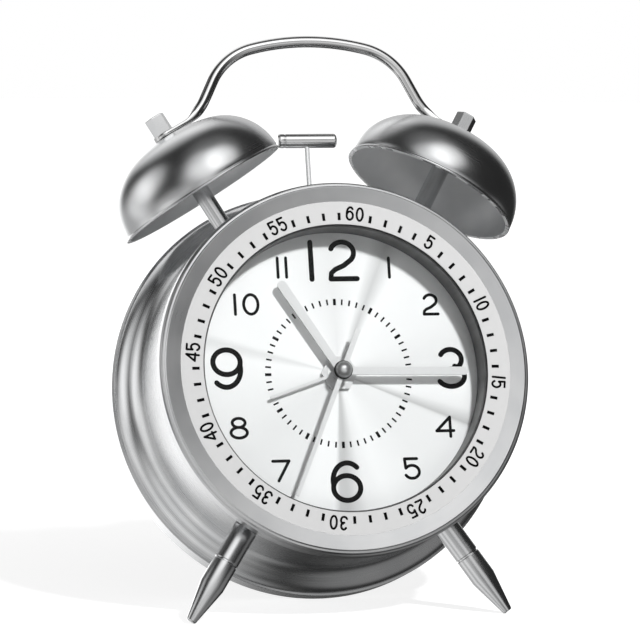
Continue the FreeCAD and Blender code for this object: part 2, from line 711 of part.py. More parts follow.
keep("striker_pin", fuse(
    rod_y(d.pivot_radius, 0, d.pin_front, pivot, bracket_back),
    rod_y(d.pin_head, 0, d.pin_head_front, pivot, d.pin_head_back)))
bracket_round = rod_y(d.bracket_radius, 0, d.bracket_front, 0, bracket_back)
bracket_strip = box(-d.bracket_width / 2, d.bracket_front, d.bracket_foot,
                    d.bracket_width / 2, bracket_back, d.rim_radius)
keep("striker_bracket", cut(
    common(bracket_round, bracket_strip),
    rod_y(d.pivot_radius, 0, d.bracket_front, pivot, bracket_back)))
pole_outer = d.pole_gap + d.pole_width
core = rod_x(d.core_radius, -pole_outer, d.hammer_plane, d.core_height, pole_outer)
poles = [box(left, boss_front, d.yoke_foot, left + d.pole_width, d.bracket_front, d.pole_top)
         for left in (-pole_outer, d.pole_gap)]
keep("striker_yoke", fuse(core, *poles))
keep("striker_coil", cut(
    rod_x(d.bobbin_radius, -d.pole_gap, d.hammer_plane, d.core_height, d.pole_gap),
    rod_x(d.core_radius, -d.pole_gap, d.hammer_plane, d.core_height, d.pole_gap)))


# ---------------------------------------------------------------- movement case and wheels

plate_half = d.plate_width / 2
plate_back = d.dial_depth + d.plate_depth
set_centre = -(CANNON_TEETH + SETTING_TEETH) / 2 * d.module
alarm_centre = (ALARM_TEETH + ALARM_PINION_TEETH) / 2 * d.module
knob_shaft = 2 * d.arbor_radius + d.shaft_margin
bush_bore = d.arbor_radius + 3 * (d.tube_wall + d.running_gap) + d.running_gap
movement_wall_front = d.movement_back - d.movement_wall
pocket_front = plate_back - d.pivot_pocket
shaft_bore = d.knob_shaft_radius + d.running_gap
keep("movement_front", cut(
    fuse(box(-plate_half, d.dial_depth, d.plate_foot, plate_half, plate_back, d.plate_head),
         rod_y(d.bush_radius, 0, d.bush_front, 0, plate_back)),
    rod_y(bush_bore, 0, d.bush_front, 0, plate_back),
    rod_y(shaft_bore, set_centre, pocket_front, 0, plate_back),
    rod_y(shaft_bore, alarm_centre, pocket_front, 0, plate_back)))
keep("movement_rear", cut(
    box(-plate_half, plate_back, d.plate_foot, plate_half, d.movement_back, d.plate_head),
    box(d.movement_wall - plate_half, plate_back, d.plate_foot + d.movement_wall,
        plate_half - d.movement_wall, movement_wall_front, d.plate_head - d.movement_wall),
    rod_y(knob_shaft + d.running_gap, set_centre, movement_wall_front, 0, d.movement_back),
    rod_y(knob_shaft + d.running_gap, alarm_centre, movement_wall_front, 0, d.movement_back)))
keep("movement_nut", cut(
    hex_prism(d.fixing_nut_flats, dial_axis(), -d.fixing_nut_depth, 0),
    rod_y(d.bush_radius, 0, -d.fixing_nut_depth, 0, 0)))

# Four tubes turn inside one another: second arbor, minute tube, hour tube, alarm tube.
step = d.tube_wall + d.running_gap
minute_bore = d.arbor_radius + d.running_gap
hour_bore = minute_bore + step
alarm_bore = hour_bore + step
train_end = movement_wall_front - d.train_end_gap


def ring_tube(bore, front, back):
    return cut(rod_y(bore + d.tube_wall, 0, front, 0, back), rod_y(bore, 0, front, 0, back))


def moulded(label, wheels, shaft):
    """Wheels, pinions and the shaft or tube between them, moulded in one."""
    return keep(label, fuse(*wheels, shaft))


moulded("cannon_pinion",
        [toothed("cannon_teeth", CANNON_TEETH, d.module, d.cannon_depth,
                 minute_bore + d.tube_wall, dial_axis(y=d.cannon_front))],
        ring_tube(minute_bore, d.minute_level, d.cannon_end))
moulded("hour_wheel",
        [toothed("hour_teeth", HOUR_TEETH, d.hour_module, d.hour_wheel_depth,
                 hour_bore + d.tube_wall, dial_axis(y=d.hour_wheel_front))],
        ring_tube(hour_bore, d.hour_level, d.hour_wheel_end))
moulded("alarm_wheel",
        [toothed("alarm_teeth", ALARM_TEETH, d.module, d.alarm_wheel_depth,
                 alarm_bore + d.tube_wall, dial_axis(y=d.alarm_wheel_front))],
        ring_tube(alarm_bore, d.alarm_level, d.alarm_wheel_end))
moulded("second_wheel",
        [toothed("second_teeth", SECOND_TEETH, d.second_module, d.second_wheel_depth,
                 d.arbor_radius, dial_axis(y=d.second_wheel_front))],
        rod_y(d.arbor_radius, 0, d.second_level, 0, d.second_wheel_end))

knob_back = d.knob_front + d.knob_depth
shaft_front = pocket_front + d.shaft_margin


def knob_arbor(centre, thick_from):
    return fuse(rod_y(d.knob_shaft_radius, centre, shaft_front, 0, thick_from),
                rod_y(knob_shaft, centre, thick_from, 0, knob_back - d.knob_shaft_set_in))


moulded("setting_wheel",
        [toothed("setting_teeth", SETTING_TEETH, d.module, d.setting_depth, knob_shaft,
                 dial_axis(set_centre, d.setting_front, 0, SETTING_MESH)),
         toothed("setting_pinion", SETTING_PINION_TEETH, d.hour_module, d.setting_pinion_depth,
                 d.knob_shaft_radius,
                 dial_axis(set_centre, d.setting_pinion_front, 0, SETTING_PINION_MESH))],
        knob_arbor(set_centre, d.setting_shaft_front))
moulded("alarm_pinion",
        [toothed("alarm_pinion_teeth", ALARM_PINION_TEETH, d.module, d.alarm_pinion_depth,
                 d.knob_shaft_radius,
                 dial_axis(alarm_centre, d.alarm_pinion_front, 0, SETTING_PINION_MESH))],
        knob_arbor(alarm_centre, d.alarm_shaft_front))

third_height = (SECOND_TEETH + THIRD_PINION_TEETH) / 2 * d.second_module
rotor_centre = (THIRD_TEETH + ROTOR_TEETH) / 2 * d.module
moulded("third_wheel",
        [toothed("third_pinion", THIRD_PINION_TEETH, d.second_module, d.third_pinion_depth,
                 d.third_shaft_radius,
                 dial_axis(0, d.third_pinion_front, third_height, THIRD_MESH)),
         toothed("third_teeth", THIRD_TEETH, d.module, d.third_wheel_depth,
                 d.third_shaft_radius, dial_axis(0, d.third_wheel_front, third_height))],
        rod_y(d.third_shaft_radius, 0, d.third_shaft_front, third_height, train_end))
moulded("rotor_pinion",
        [toothed("rotor_teeth", ROTOR_TEETH, d.module, d.rotor_pinion_depth,
                 d.rotor_shaft_radius,
                 dial_axis(rotor_centre, d.rotor_pinion_front, third_height, THIRD_MESH))],
        rod_y(d.rotor_shaft_radius, rotor_centre, d.rotor_shaft_front, third_height, train_end))
keep("rotor_magnet", cut(
    rod_y(d.magnet_radius, rotor_centre, d.magnet_front, third_height, d.magnet_back),
    rod_y(d.rotor_shaft_radius, rotor_centre, d.magnet_front, third_height, d.magnet_back)))
stator_head = third_height + d.stator_half
stator_neck = third_height - d.stator_half
core_left = d.coil_centre - d.core_half
core_right = d.coil_centre + d.core_half
keep("stator", cut(
    fuse(box(rotor_centre - d.stator_reach, d.stator_front, stator_neck,
             core_right, d.stator_back, stator_head),
         box(core_left, d.stator_front, d.stator_foot, core_right, d.stator_back, stator_neck)),
    rod_y(d.magnet_radius + d.stator_gap, rotor_centre, d.stator_front, third_height,
          d.stator_back)))
keep("drive_coil", cut(
    rod_z(d.coil_radius, d.coil_centre, d.coil_plane, d.coil_foot, d.coil_head),
    box(core_left, d.stator_front, d.coil_foot, core_right, d.stator_back, d.coil_head)))
keep("circuit_board", box(d.board_left, d.board_front, d.board_foot,
                          d.board_right, d.board_back, d.board_head))
keep("quartz_crystal", rod_x(
    d.crystal_radius, d.crystal_left, d.crystal_plane, d.crystal_height, d.crystal_right))
keep("board_posts", fuse(*[
    rod_y(d.board_post_radius, x, d.board_back, z, movement_wall_front)
    for x in (d.board_post_left, d.board_post_right)
    for z in (d.board_post_high, d.board_post_low)]))


# ---------------------------------------------------------------- hands

def hand(label, corners, level, angle, hub, bore):
    """A flat blade drawn towards local -Y, which turns to point at the angle from 12 o'clock."""
    place = dial_axis(y=level, turn=number(angle))
    blade = plate(label + "_blade", corners, d.hand_depth, place)
    pieces.pop()
    blade.Placement = place
    eye = drill(hub, place, 0, d.hand_depth)
    keep(label, cut(fuse(blade, eye), drill(bore, place, 0, d.hand_depth)))
    return blade, eye


def blade(root_half, tip_half, reach, tail=0):
    """Straight edges from the root to a round tip; the outline runs clockwise seen from behind."""
    shoulder = tip_half - reach
    return [(root_half, tail), (tip_half, shoulder, -d.tip_arc_ratio * tip_half),
            (-tip_half, shoulder), (-root_half, tail)]


hand("alarm_hand", blade(d.alarm_half, d.alarm_half, d.alarm_reach),
     d.alarm_level, d.alarm_angle, d.alarm_hub, alarm_bore + d.tube_wall)
hand("hour_hand", blade(d.hour_root, d.hour_tip, d.hour_reach),
     d.hour_level, d.hour_angle, d.hour_hub, hour_bore + d.tube_wall)
hand("minute_hand", blade(d.minute_root, d.minute_tip, d.minute_reach),
     d.minute_level, d.minute_angle, d.minute_hub, minute_bore + d.tube_wall)
second_hand_solids = hand(
    "second_hand", blade(d.second_root, d.second_tip, d.second_reach, d.second_tail),
    d.second_level, d.second_angle, d.second_hub, d.arbor_radius)
cap = d.ball_radius
cap_blank = revolved("second_cap", [
    (0, -cap, cap),
    (cap, 0, cap),
    (root(cap * cap - d.ball_foot * d.ball_foot), d.ball_foot),
    (0, d.ball_foot),
], dial_axis(y=d.ball_level))
keep("second_cap", cut(
    cap_blank,
    *second_hand_solids,
    rod_y(d.arbor_radius, 0, d.second_level, 0, d.ball_level + d.ball_foot)))


# ---------------------------------------------------------------- battery

cell_end = d.tray_width / 2 - d.tray_wall
cell_start = d.spring_reach - cell_end
cell_front = cell_start + d.cell_length - d.cell_nub_length
contact_front = cell_end - d.contact_depth
keep("battery", fuse(
    rod_x(d.cell_radius, cell_start, d.cell_plane, d.cell_height, cell_front),
    rod_x(d.cell_nub, cell_front, d.cell_plane, d.cell_height, contact_front)))
keep("battery_contact", box(
    contact_front, d.cell_plane - d.contact_half, d.cell_height - d.contact_half,
    cell_end, d.cell_plane + d.contact_half, d.cell_height + d.contact_half))
spring_body = doc.addObject("PartDesign::Body", "battery_spring")
wire_sketch = new_sketch(spring_body, "XZ_Plane", "spring_wire_section")
draw_circle(wire_sketch, d.spring_radius, d.spring_wire, d.spring_wire)
coil_rise = d.spring_reach - 2 * d.spring_wire
spring = spring_body.newObject("PartDesign::AdditiveHelix", "spring_helix")
spring.Profile = wire_sketch
spring.ReferenceAxis = (wire_sketch, ["V_Axis"])
spring.Mode = 0
bind(spring, Pitch=coil_rise / (SPRING_COILS - 1), Height=coil_rise)
keep("battery_spring", spring_body,
     shifted(-cell_end, d.cell_plane, d.cell_height) * spoke(90))


# ---------------------------------------------------------------- back cover, door, screws

cover_back = d.cover_front + d.cover_depth
tray_half = d.tray_width / 2
inside_half = tray_half - d.tray_wall
inside_foot = d.tray_foot + d.tray_wall
inside_head = d.tray_head - d.tray_wall
door_half = inside_half + d.door_ledge - d.door_gap
door_foot = inside_foot - d.door_ledge + d.door_gap
door_head = inside_head + d.door_ledge - d.door_gap
hinge_radius = d.cover_depth / 2
hinge_plane = d.cover_front + hinge_radius
hinge_height = door_foot + hinge_radius
screw_spots = [(spoke(angle) * shifted(z=d.boss_circle)).Base for angle in SCREW_ANGLES]
slot_half = d.switch_travel / 2 + d.tab_half_width + d.switch_slot_end
cover_tools = [
    box(-inside_half, d.tray_front + d.tray_floor, inside_foot,
        inside_half, cover_back, inside_head),
    box(-inside_half - d.door_ledge, d.cover_front, inside_foot - d.door_ledge,
        inside_half + d.door_ledge, cover_back, inside_head + d.door_ledge),
    box(-slot_half, d.cover_front, d.switch_height - d.switch_slot_half,
        slot_half, cover_back, d.switch_height + d.switch_slot_half),
    rod_x(d.door_pin + d.running_gap, -inside_half - d.hinge_bore_reach, hinge_plane,
          hinge_height, inside_half + d.hinge_bore_reach)]
cover_tools += [rod_y(2 * knob_shaft, centre, d.cover_front, 0, cover_back)
                for centre in (set_centre, alarm_centre)]
cover_tools += [rod_y(d.screw_radius, spot.x, d.cover_front, spot.z, cover_back)
                for spot in screw_spots]
keep("back_cover", cut(
    fuse(rod_y(d.cover_radius, 0, d.cover_front, 0, cover_back),
         box(-tray_half, d.tray_front, d.tray_foot, tray_half, d.cover_front, d.tray_head)),
    *cover_tools))
keep("battery_door", fuse(
    box(-door_half, d.cover_front, hinge_height, door_half, cover_back, door_head),
    rod_x(hinge_radius, -door_half, hinge_plane, hinge_height, door_half),
    rod_x(d.door_pin, -inside_half - d.hinge_reach, hinge_plane, hinge_height,
          inside_half + d.hinge_reach)))
screws, bosses = [], []
head_back = cover_back + d.screw_head_depth
boss_foot = d.cover_front - d.cover_boss_depth
for spot in screw_spots:
    bosses.append(cut(rod_y(d.cover_boss_radius, spot.x, boss_foot, spot.z, d.cover_front),
                      rod_y(d.screw_radius, spot.x, boss_foot, spot.z, d.cover_front)))
    recess = box(spot.x - d.screw_slot_length / 2, head_back - d.screw_slot_depth,
                 spot.z - d.screw_slot_width / 2, spot.x + d.screw_slot_length / 2,
                 head_back, spot.z + d.screw_slot_width / 2)
    shank = rod_y(d.screw_radius, spot.x, boss_foot, spot.z, cover_back)
    head = rod_y(d.screw_head, spot.x, cover_back, spot.z, head_back)
    screws.append(cut(fuse(shank, head), recess))
keep("back_cover_screws", fuse(*screws))
keep("screw_bosses", fuse(*bosses))


# ---------------------------------------------------------------- knobs and alarm switch

for name, centre in (("set_knob", set_centre), ("alarm_knob", alarm_centre)):
    place = dial_axis(centre, d.knob_front)
    grip = toothed(name + "_grip", KNOB_RIBS, d.knob_module, d.knob_depth, knob_shaft,
                   place, RIB_DEPTH)
    keep(name, grip, place)
tab_left = -d.switch_travel / 2 - d.tab_half_width
tab_right = -d.switch_travel / 2 + d.tab_half_width
tab_seat = d.cover_front - d.tab_clearance
keep("switch_housing", cut(
    box(-d.housing_half_width, d.cover_front - d.housing_depth,
        d.switch_height - d.housing_half_height, d.housing_half_width, d.cover_front,
        d.switch_height + d.housing_half_height),
    box(-slot_half - d.housing_side_room, d.cover_front - d.housing_room,
        d.switch_height - d.housing_top_room, slot_half + d.housing_side_room,
        d.cover_front, d.switch_height + d.housing_top_room)))
keep("switch_slider", fuse(
    box(tab_left - d.tab_shoulder, d.cover_front - d.tab_depth,
        d.switch_height - d.tab_half_width, tab_right + d.tab_shoulder, tab_seat,
        d.switch_height + d.tab_half_width),
    box(tab_left, tab_seat, d.switch_height - d.tab_half_height,
        tab_right, cover_back + d.tab_stands, d.switch_height + d.tab_half_height)))


# ---------------------------------------------------------------- checks and export

doc.recompute()
for thing in doc.Objects:
    if "Invalid" in thing.State or "Error" in thing.State:
        raise RuntimeError(f"{thing.Label} failed: {thing.State}")
labels = [piece.Label for piece in pieces]
if len(set(labels)) != len(labels):
    raise RuntimeError("two pieces share a name")
os.makedirs("parts", exist_ok=True)
whole = FreeCAD.BoundBox()
for piece in pieces:
    if piece.Shape.isNull() or not piece.Shape.isValid():
        raise RuntimeError(f"{piece.Label} has no valid shape")
    whole.add(piece.Shape.BoundBox)
    piece.Shape.exportStep(f"parts/{piece.Label}.step")
    print(f"{piece.Label}: {piece.Shape.Volume:.1f} mm3, {len(piece.Shape.Solids)} solid(s)")
print("nodes", len(pieces), "box", whole)
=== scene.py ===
import json
import math

import bmesh
import bpy
from mathutils import Matrix, Vector


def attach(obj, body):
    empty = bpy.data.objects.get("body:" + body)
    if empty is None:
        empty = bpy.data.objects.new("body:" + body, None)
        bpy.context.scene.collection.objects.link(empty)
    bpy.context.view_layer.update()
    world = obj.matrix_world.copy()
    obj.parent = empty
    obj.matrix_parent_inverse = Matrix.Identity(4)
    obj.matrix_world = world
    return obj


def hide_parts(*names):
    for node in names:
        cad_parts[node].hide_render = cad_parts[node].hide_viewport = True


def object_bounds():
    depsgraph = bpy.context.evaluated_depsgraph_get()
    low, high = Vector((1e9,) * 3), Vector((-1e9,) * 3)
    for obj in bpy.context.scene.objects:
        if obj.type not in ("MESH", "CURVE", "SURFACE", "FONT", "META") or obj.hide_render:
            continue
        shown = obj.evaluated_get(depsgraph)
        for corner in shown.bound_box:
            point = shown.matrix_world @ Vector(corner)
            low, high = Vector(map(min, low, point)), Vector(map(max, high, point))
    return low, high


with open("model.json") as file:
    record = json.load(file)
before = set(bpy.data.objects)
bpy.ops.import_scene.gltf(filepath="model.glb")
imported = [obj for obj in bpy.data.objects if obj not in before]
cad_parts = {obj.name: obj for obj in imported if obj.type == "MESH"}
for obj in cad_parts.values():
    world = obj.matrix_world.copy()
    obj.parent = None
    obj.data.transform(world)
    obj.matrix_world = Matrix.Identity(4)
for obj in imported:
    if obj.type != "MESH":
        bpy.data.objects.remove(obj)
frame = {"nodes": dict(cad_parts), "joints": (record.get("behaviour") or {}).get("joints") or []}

cad_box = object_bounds()


# ---------------------------------------------------------------- studio and camera
# A white table under a small round lamp high in front and a weak broad one on the left.
# The metal mirrors neither lamp, only the pale soft-edged walls and the unlit gaps
# between them, and so it has clean light and dark bands.
class Wire:
    """One output of a shader node. Arithmetic on it adds the Math nodes it needs."""

    def __init__(self, tree, socket):
        self.tree = tree
        self.socket = socket

    def node(self, kind, settings=None, values=None, out=0):
        """Adds a node, sets it up, joins or fills its sockets, and returns one output."""
        made = self.tree.nodes.new("ShaderNode" + kind)
        for name, value in (settings or {}).items():
            if name == "stops":
                for spot, _ in value[1:-1]:
                    made.color_ramp.elements.new(spot)
                for element, (spot, shade) in zip(made.color_ramp.elements, value):
                    element.position = spot
                    element.color = (shade, shade, shade, 1)
            else:
                setattr(made, name, value)
        for name, value in (values or {}).items():
            if isinstance(value, Wire):
                self.tree.links.new(value.socket, made.inputs[name])
            else:
                made.inputs[name].default_value = value
        return Wire(self.tree, made.outputs[out])

    def reckon(self, operation, *values):
        return self.node("Math", {"operation": operation}, dict(enumerate(values)))

    def __add__(self, other):
        return self.reckon("ADD", self, other)

    __radd__ = __add__

    def __sub__(self, other):
        return self.reckon("SUBTRACT", self, other)

    def __rsub__(self, other):
        return self.reckon("SUBTRACT", other, self)

    def __mul__(self, other):
        return self.reckon("MULTIPLY", self, other)

    __rmul__ = __mul__

    def __truediv__(self, other):
        return self.reckon("DIVIDE", self, other)

    def __rtruediv__(self, other):
        return self.reckon("DIVIDE", other, self)


def between(value, low, high, start=0.0, end=1.0):
    """Eases from start to end as value goes from low to high."""
    limits = {"Value": value, "From Min": low, "From Max": high, "To Min": start, "To Max": end}
    return value.node("MapRange", {"interpolation_type": "SMOOTHSTEP"}, limits)


def heading(azimuth, elevation):
    """Unit vector from the clock; azimuth 0 is its front and 90 its right-hand side."""
    a, e = math.radians(azimuth), math.radians(elevation)
    return Vector((math.sin(a) * math.cos(e), -math.cos(a) * math.cos(e), math.sin(e)))


low, high = cad_box
middle = (low + high) / 2
scene = bpy.context.scene
scene.view_settings.view_transform = "Standard"

STUDIO_WALLS = (          # azimuth, elevation, full within, gone at, brightness
    (22, 52, 12, 27, 1.05),
    (-10, 46, 10, 34, 0.80),
    (-14, 24, 14, 34, 0.42),
    (8, 4, 8, 24, 0.45),
    (0, 72, 10, 38, 0.15),
    (-98, 18, 8, 28, 0.80),
    (-106, 2, 10, 30, 0.70),
    (-160, 42, 6, 28, 0.55),
    (172, 21, 20, 44, 0.70),
    (-172, -10, 13, 27, 1.60),
    (-128, -38, 22, 46, 0.55),
    (-70, -40, 20, 42, 0.50),
    (-40, -16, 12, 34, 0.55),
    (18, -18, 12, 34, 0.35),
    (70, -48, 24, 40, 0.22),
)
GAP_BRIGHTNESS = 0.03
AMBIENT = 0.10
world = bpy.data.worlds.new("studio")
world.use_nodes = True
scene.world = world
tree = world.node_tree
way = Wire(tree, tree.nodes.new("ShaderNodeTexCoord").outputs["Generated"])
walls = GAP_BRIGHTNESS
for azimuth, elevation, full, gone, brightness in STUDIO_WALLS:
    facing = way.node("VectorMath", {"operation": "DOT_PRODUCT"},
                      {0: way, 1: heading(azimuth, elevation)}, "Value")
    walls = walls + between(facing, math.cos(math.radians(gone)),
                            math.cos(math.radians(full)), 0, brightness)
diffuse_ray = way.node("LightPath", out="Is Diffuse Ray")
camera_ray = way.node("LightPath", out="Is Camera Ray")
seen = walls + diffuse_ray * (AMBIENT - walls)
seen = seen + camera_ray * (1 - seen)
tree.nodes["Background"].inputs["Color"].default_value = (1, 1, 1, 1)
tree.links.new(seen.socket, tree.nodes["Background"].inputs["Strength"])


def softbox(name, azimuth, elevation, distance, width, watts):
    """A round lamp, its distance and width in metres, aimed at the middle of the clock."""
    lamp = bpy.data.lights.new(name, "AREA")
    lamp.shape = "DISK"
    lamp.size = width
    lamp.energy = watts
    stand = bpy.data.objects.new(name, lamp)
    stand.location = middle + heading(azimuth, elevation) * distance
    stand.rotation_euler = (-heading(azimuth, elevation)).to_track_quat("-Z", "Y").to_euler()
    stand.visible_glossy = False
    bpy.context.collection.objects.link(stand)


softbox("key_lamp", 20, 42, 1.1, 0.11, 15)
softbox("left_fill", -75, 25, 1.3, 0.9, 1.2)

# The table top glows to an even white far out, a painted light, and is dimmed towards its middle,
# where the clock stands, as a painted shade round the clock.
FLOOR_RADIUS = 3.0
DIM_WITHIN, FULL_FROM = 0.05, 0.5
DIM_GLOW, FULL_GLOW = 0.8, 1.0
mesh = bmesh.new()
bmesh.ops.create_circle(mesh, cap_ends=True, segments=96, radius=FLOOR_RADIUS)
floor_mesh = bpy.data.meshes.new("table_top")
mesh.to_mesh(floor_mesh)
mesh.free()
floor = bpy.data.objects.new("table_top", floor_mesh)
floor.visible_glossy = False
bpy.context.collection.objects.link(floor)
paper = bpy.data.materials.new("white_paper")
paper.use_nodes = True
shader = paper.node_tree.nodes["Principled BSDF"]
shader.inputs["Base Color"].default_value = (0.5, 0.5, 0.5, 1)
shader.inputs["Roughness"].default_value = 0.8
shader.inputs["Emission Strength"].default_value = 1.0
spot = Wire(paper.node_tree, paper.node_tree.nodes.new("ShaderNodeTexCoord").outputs["Object"])
out_from_clock = spot.node("VectorMath", {"operation": "LENGTH"}, {0: spot}, "Value")
painted_glow = between(out_from_clock, DIM_WITHIN, FULL_FROM, DIM_GLOW, FULL_GLOW)
paper.node_tree.links.new(painted_glow.socket, shader.inputs["Emission Color"])
floor_mesh.materials.append(paper)

VIEW_AZIMUTH, VIEW_ELEVATION, VIEW_ROLL = -14.04, 5.49, 0.43
VIEW_DISTANCE, LENS_LENGTH = 1.2402, 250.76
AIM_SHIFT = Vector((-0.00164, 0.00048, 0.00057))
lens = bpy.data.cameras.new("camera")
lens.lens = LENS_LENGTH
camera = bpy.data.objects.new("camera", lens)
aim = middle + AIM_SHIFT
camera.location = aim + heading(VIEW_AZIMUTH, VIEW_ELEVATION) * VIEW_DISTANCE
looking = (-heading(VIEW_AZIMUTH, VIEW_ELEVATION)).to_track_quat("-Z", "Y").to_matrix()
roll = Matrix.Rotation(math.radians(VIEW_ROLL), 3, "Z")
camera.rotation_euler = (looking @ roll).to_euler()
bpy.context.collection.objects.link(camera)
scene.camera = camera


# ---------------------------------------------------------------- case shell
# The drum is one steel shell, spun to a straight wall that flares into a wide band
# and a rolled rim at the back. It is satin all over, brushed round the drum.
MM = 0.001
CREASE = math.radians(35)
joints = {joint["name"]: joint for joint in frame["joints"]}
dial_centre = Vector(joints["minute_turn"]["pos_m"])
backward = Vector(joints["minute_turn"]["axis"])
across = Vector((1, 0, 0))
lean = math.atan2(backward.z, backward.y)
DRUM = Matrix((across, backward, across.cross(backward))).transposed().to_4x4()
DRUM = Matrix.Translation(dial_centre) @ DRUM @ Matrix.Scale(MM, 4)
DIAL_AXIS = Matrix.Rotation(math.radians(-90), 4, "X")


def finish(name, slot, constants, varying=None):
    """A Principled material. varying(place) gives the wires of what changes over it.

    place is the spot on the drum in mm: x to the right, y to the back, z to 12 o'clock.
    """
    material = bpy.data.materials.new(name)
    material["slot"] = slot
    material.use_nodes = True
    tree = material.node_tree
    shader = tree.nodes["Principled BSDF"]
    for socket, value in constants.items():
        shader.inputs[socket].default_value = value
    if varying:
        spot = Wire(tree, tree.nodes.new("ShaderNodeTexCoord").outputs["Object"])
        place = spot.node("Mapping", {"vector_type": "TEXTURE"}, {
            "Vector": spot, "Location": dial_centre, "Rotation": (lean, 0, 0),
            "Scale": (MM, MM, MM)})
        for socket, wire in varying(place).items():
            tree.links.new(wire.socket, shader.inputs[socket])
    return material


def grey(level, warmth=0.0):
    return (level * (1 + warmth), level, level * (1 - warmth), 1)


def tint(mask, low_shade, high_shade):
    """A colour between two shades as mask goes from 0 to 1."""
    return mask.node("Mix", {"data_type": "RGBA"}, {0: mask, 6: low_shade, 7: high_shade}, 2)


def spun(place, centre, axis):
    """Distance from an axis, height along it, and the two joined as a vector wire."""
    arm = place.node("VectorMath", {"operation": "SUBTRACT"}, {0: place, 1: centre})
    height = arm.node("VectorMath", {"operation": "DOT_PRODUCT"}, {0: arm, 1: axis}, "Value")
    foot = arm.node("VectorMath", {"operation": "SCALE"}, {0: axis, "Scale": height})
    spread = arm.node("VectorMath", {"operation": "DISTANCE"}, {0: arm, 1: foot}, "Value")
    return spread, height, spread.node("CombineXYZ", None, {0: spread, 1: height})


def noise(where, scale, detail=2.0):
    return where.node("TexNoise", None, {"Vector": where, "Scale": scale, "Detail": detail})


def bump(height, depth_mm):
    """A Normal wire from a height wire of 0 to 1 that stands for depth_mm."""
    return height.node("Bump", None, {"Height": height, "Distance": depth_mm * MM})


def brushed(centre, axis, level, roughness, depth_mm=0.004):
    """Wires of satin metal brushed round an axis: fine hoops of grain and a little wear."""
    def varying(place):
        spread, height, hoops = spun(place, centre, axis)
        grain = noise(hoops, 7.0, 4.0)
        wear = noise(place, 0.09)
        return {
            "Base Color": tint(between(wear, 0.3, 0.7), grey(level * 0.94, -0.012),
                               grey(level * 1.04, -0.006)),
            "Roughness": roughness + (grain - 0.5) * 0.10 + (wear - 0.5) * 0.06,
            "Normal": bump(grain, depth_mm),
        }
    return varying


def outline(*corners, step=7.0):
    """Closed outline through (x, y) corners. A third value starts an arc of that radius,

    with its centre on the left of the way along when it is positive.
    """
    points = []
    for corner, following in zip(corners, corners[1:] + corners[:1]):
        start, end = Vector(corner[:2]), Vector(following[:2])
        points.append(start)
        if len(corner) == 2:
            continue
        chord, radius = end - start, corner[2]
        left = Vector((-chord.y, chord.x)).normalized()
        rise = math.copysign(math.sqrt(radius ** 2 - chord.length_squared / 4), radius)
        centre = (start + end) / 2 + left * rise
        sweep = math.copysign(2 * math.asin(chord.length / 2 / abs(radius)), radius)
        count = max(2, math.ceil(math.degrees(abs(sweep)) / step))
        points += [centre + Matrix.Rotation(sweep * k / count, 2) @ (start - centre)
                   for k in range(1, count)]
    return points


def eased(points, ease, steps=3):
    """The outline with its sharp corners rounded off, but for those on the axis."""
    made = []
    for before, here, after in zip(points[-1:] + points[:-1], points, points[1:] + points[:1]):
        inward, onward = here - before, after - here
        if inward.angle(onward) < CREASE or here.x == 0:
            made.append(here)
            continue
        cut = min(ease, 0.45 * inward.length, 0.45 * onward.length)
        start = here - inward.normalized() * cut
        end = here + onward.normalized() * cut
        for k in range(steps + 1):
            t = k / steps
            made.append(start * (1 - t) ** 2 + here * 2 * t * (1 - t) + end * t ** 2)
    return made


def lathe(points, turns=192):
    """A turned solid about local Z, from a closed outline of (radius, height)."""
    mesh = bmesh.new()
    rings = []
    for radius, height in points:
        if radius == 0:
            rings.append([mesh.verts.new((0, 0, height))] * turns)
            continue
        angles = [2 * math.pi * k / turns for k in range(turns)]
        rings.append([mesh.verts.new((radius * math.cos(a), radius * math.sin(a), height))
                      for a in angles])
    for near, far in zip(rings, rings[1:] + rings[:1]):
        for k in range(turns):
            corners = (near[k - 1], near[k], far[k], far[k - 1])
            corners = list(dict.fromkeys(corners))
            if len(corners) > 2:
                mesh.faces.new(corners)
    bmesh.ops.recalc_face_normals(mesh, faces=mesh.faces)
    return mesh


def piece(name, mesh, place, material, body, *nodes):
    """Sets a mesh in mm at its place in the drum, as the piece that stands for CAD nodes."""
    mesh.transform(DRUM @ place)
    for edge in mesh.edges:
        edge.smooth = edge.is_manifold and edge.calc_face_angle(0) < CREASE
    for face in mesh.faces:
        face.smooth = True
    data = bpy.data.meshes.new(name)
    mesh.to_mesh(data)
    mesh.free()
    data.materials.append(material)
    made = bpy.data.objects.new(name, data)
    bpy.context.collection.objects.link(made)
    weighted = made.modifiers.new("weighted_normals", "WEIGHTED_NORMAL")
    weighted.keep_sharp = True
    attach(made, body)
    if nodes:
        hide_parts(*nodes)
    return made


def block(low_corner, high_corner):
    """A plain cutting block between two corners in drum mm."""
    mesh = bmesh.new()
    bmesh.ops.create_cube(mesh, size=1)
    for vertex in mesh.verts:
        vertex.co = [b if c > 0 else a for a, b, c in zip(low_corner, high_corner, vertex.co)]
    return mesh


def cut_out(made, tool_mesh):
    """Takes the tool's shape away from a piece for good."""
    tool_mesh.transform(DRUM)
    tool_data = bpy.data.meshes.new("tool")
    tool_mesh.to_mesh(tool_data)
    tool_mesh.free()
    tool = bpy.data.objects.new("tool", tool_data)
    bpy.context.collection.objects.link(tool)
    cutting = made.modifiers.new("cutting", "BOOLEAN")
    cutting.operation = "DIFFERENCE"
    cutting.object = tool
    made.modifiers.move(1, 0)
    weighted = made.modifiers["weighted_normals"]
    weighted.show_viewport = False
    evaluated = made.evaluated_get(bpy.context.evaluated_depsgraph_get())
    shape = bpy.data.meshes.new_from_object(evaluated)
    made.modifiers.remove(cutting)
    weighted.show_viewport = True
    made.data = shape
    bpy.data.objects.remove(tool)


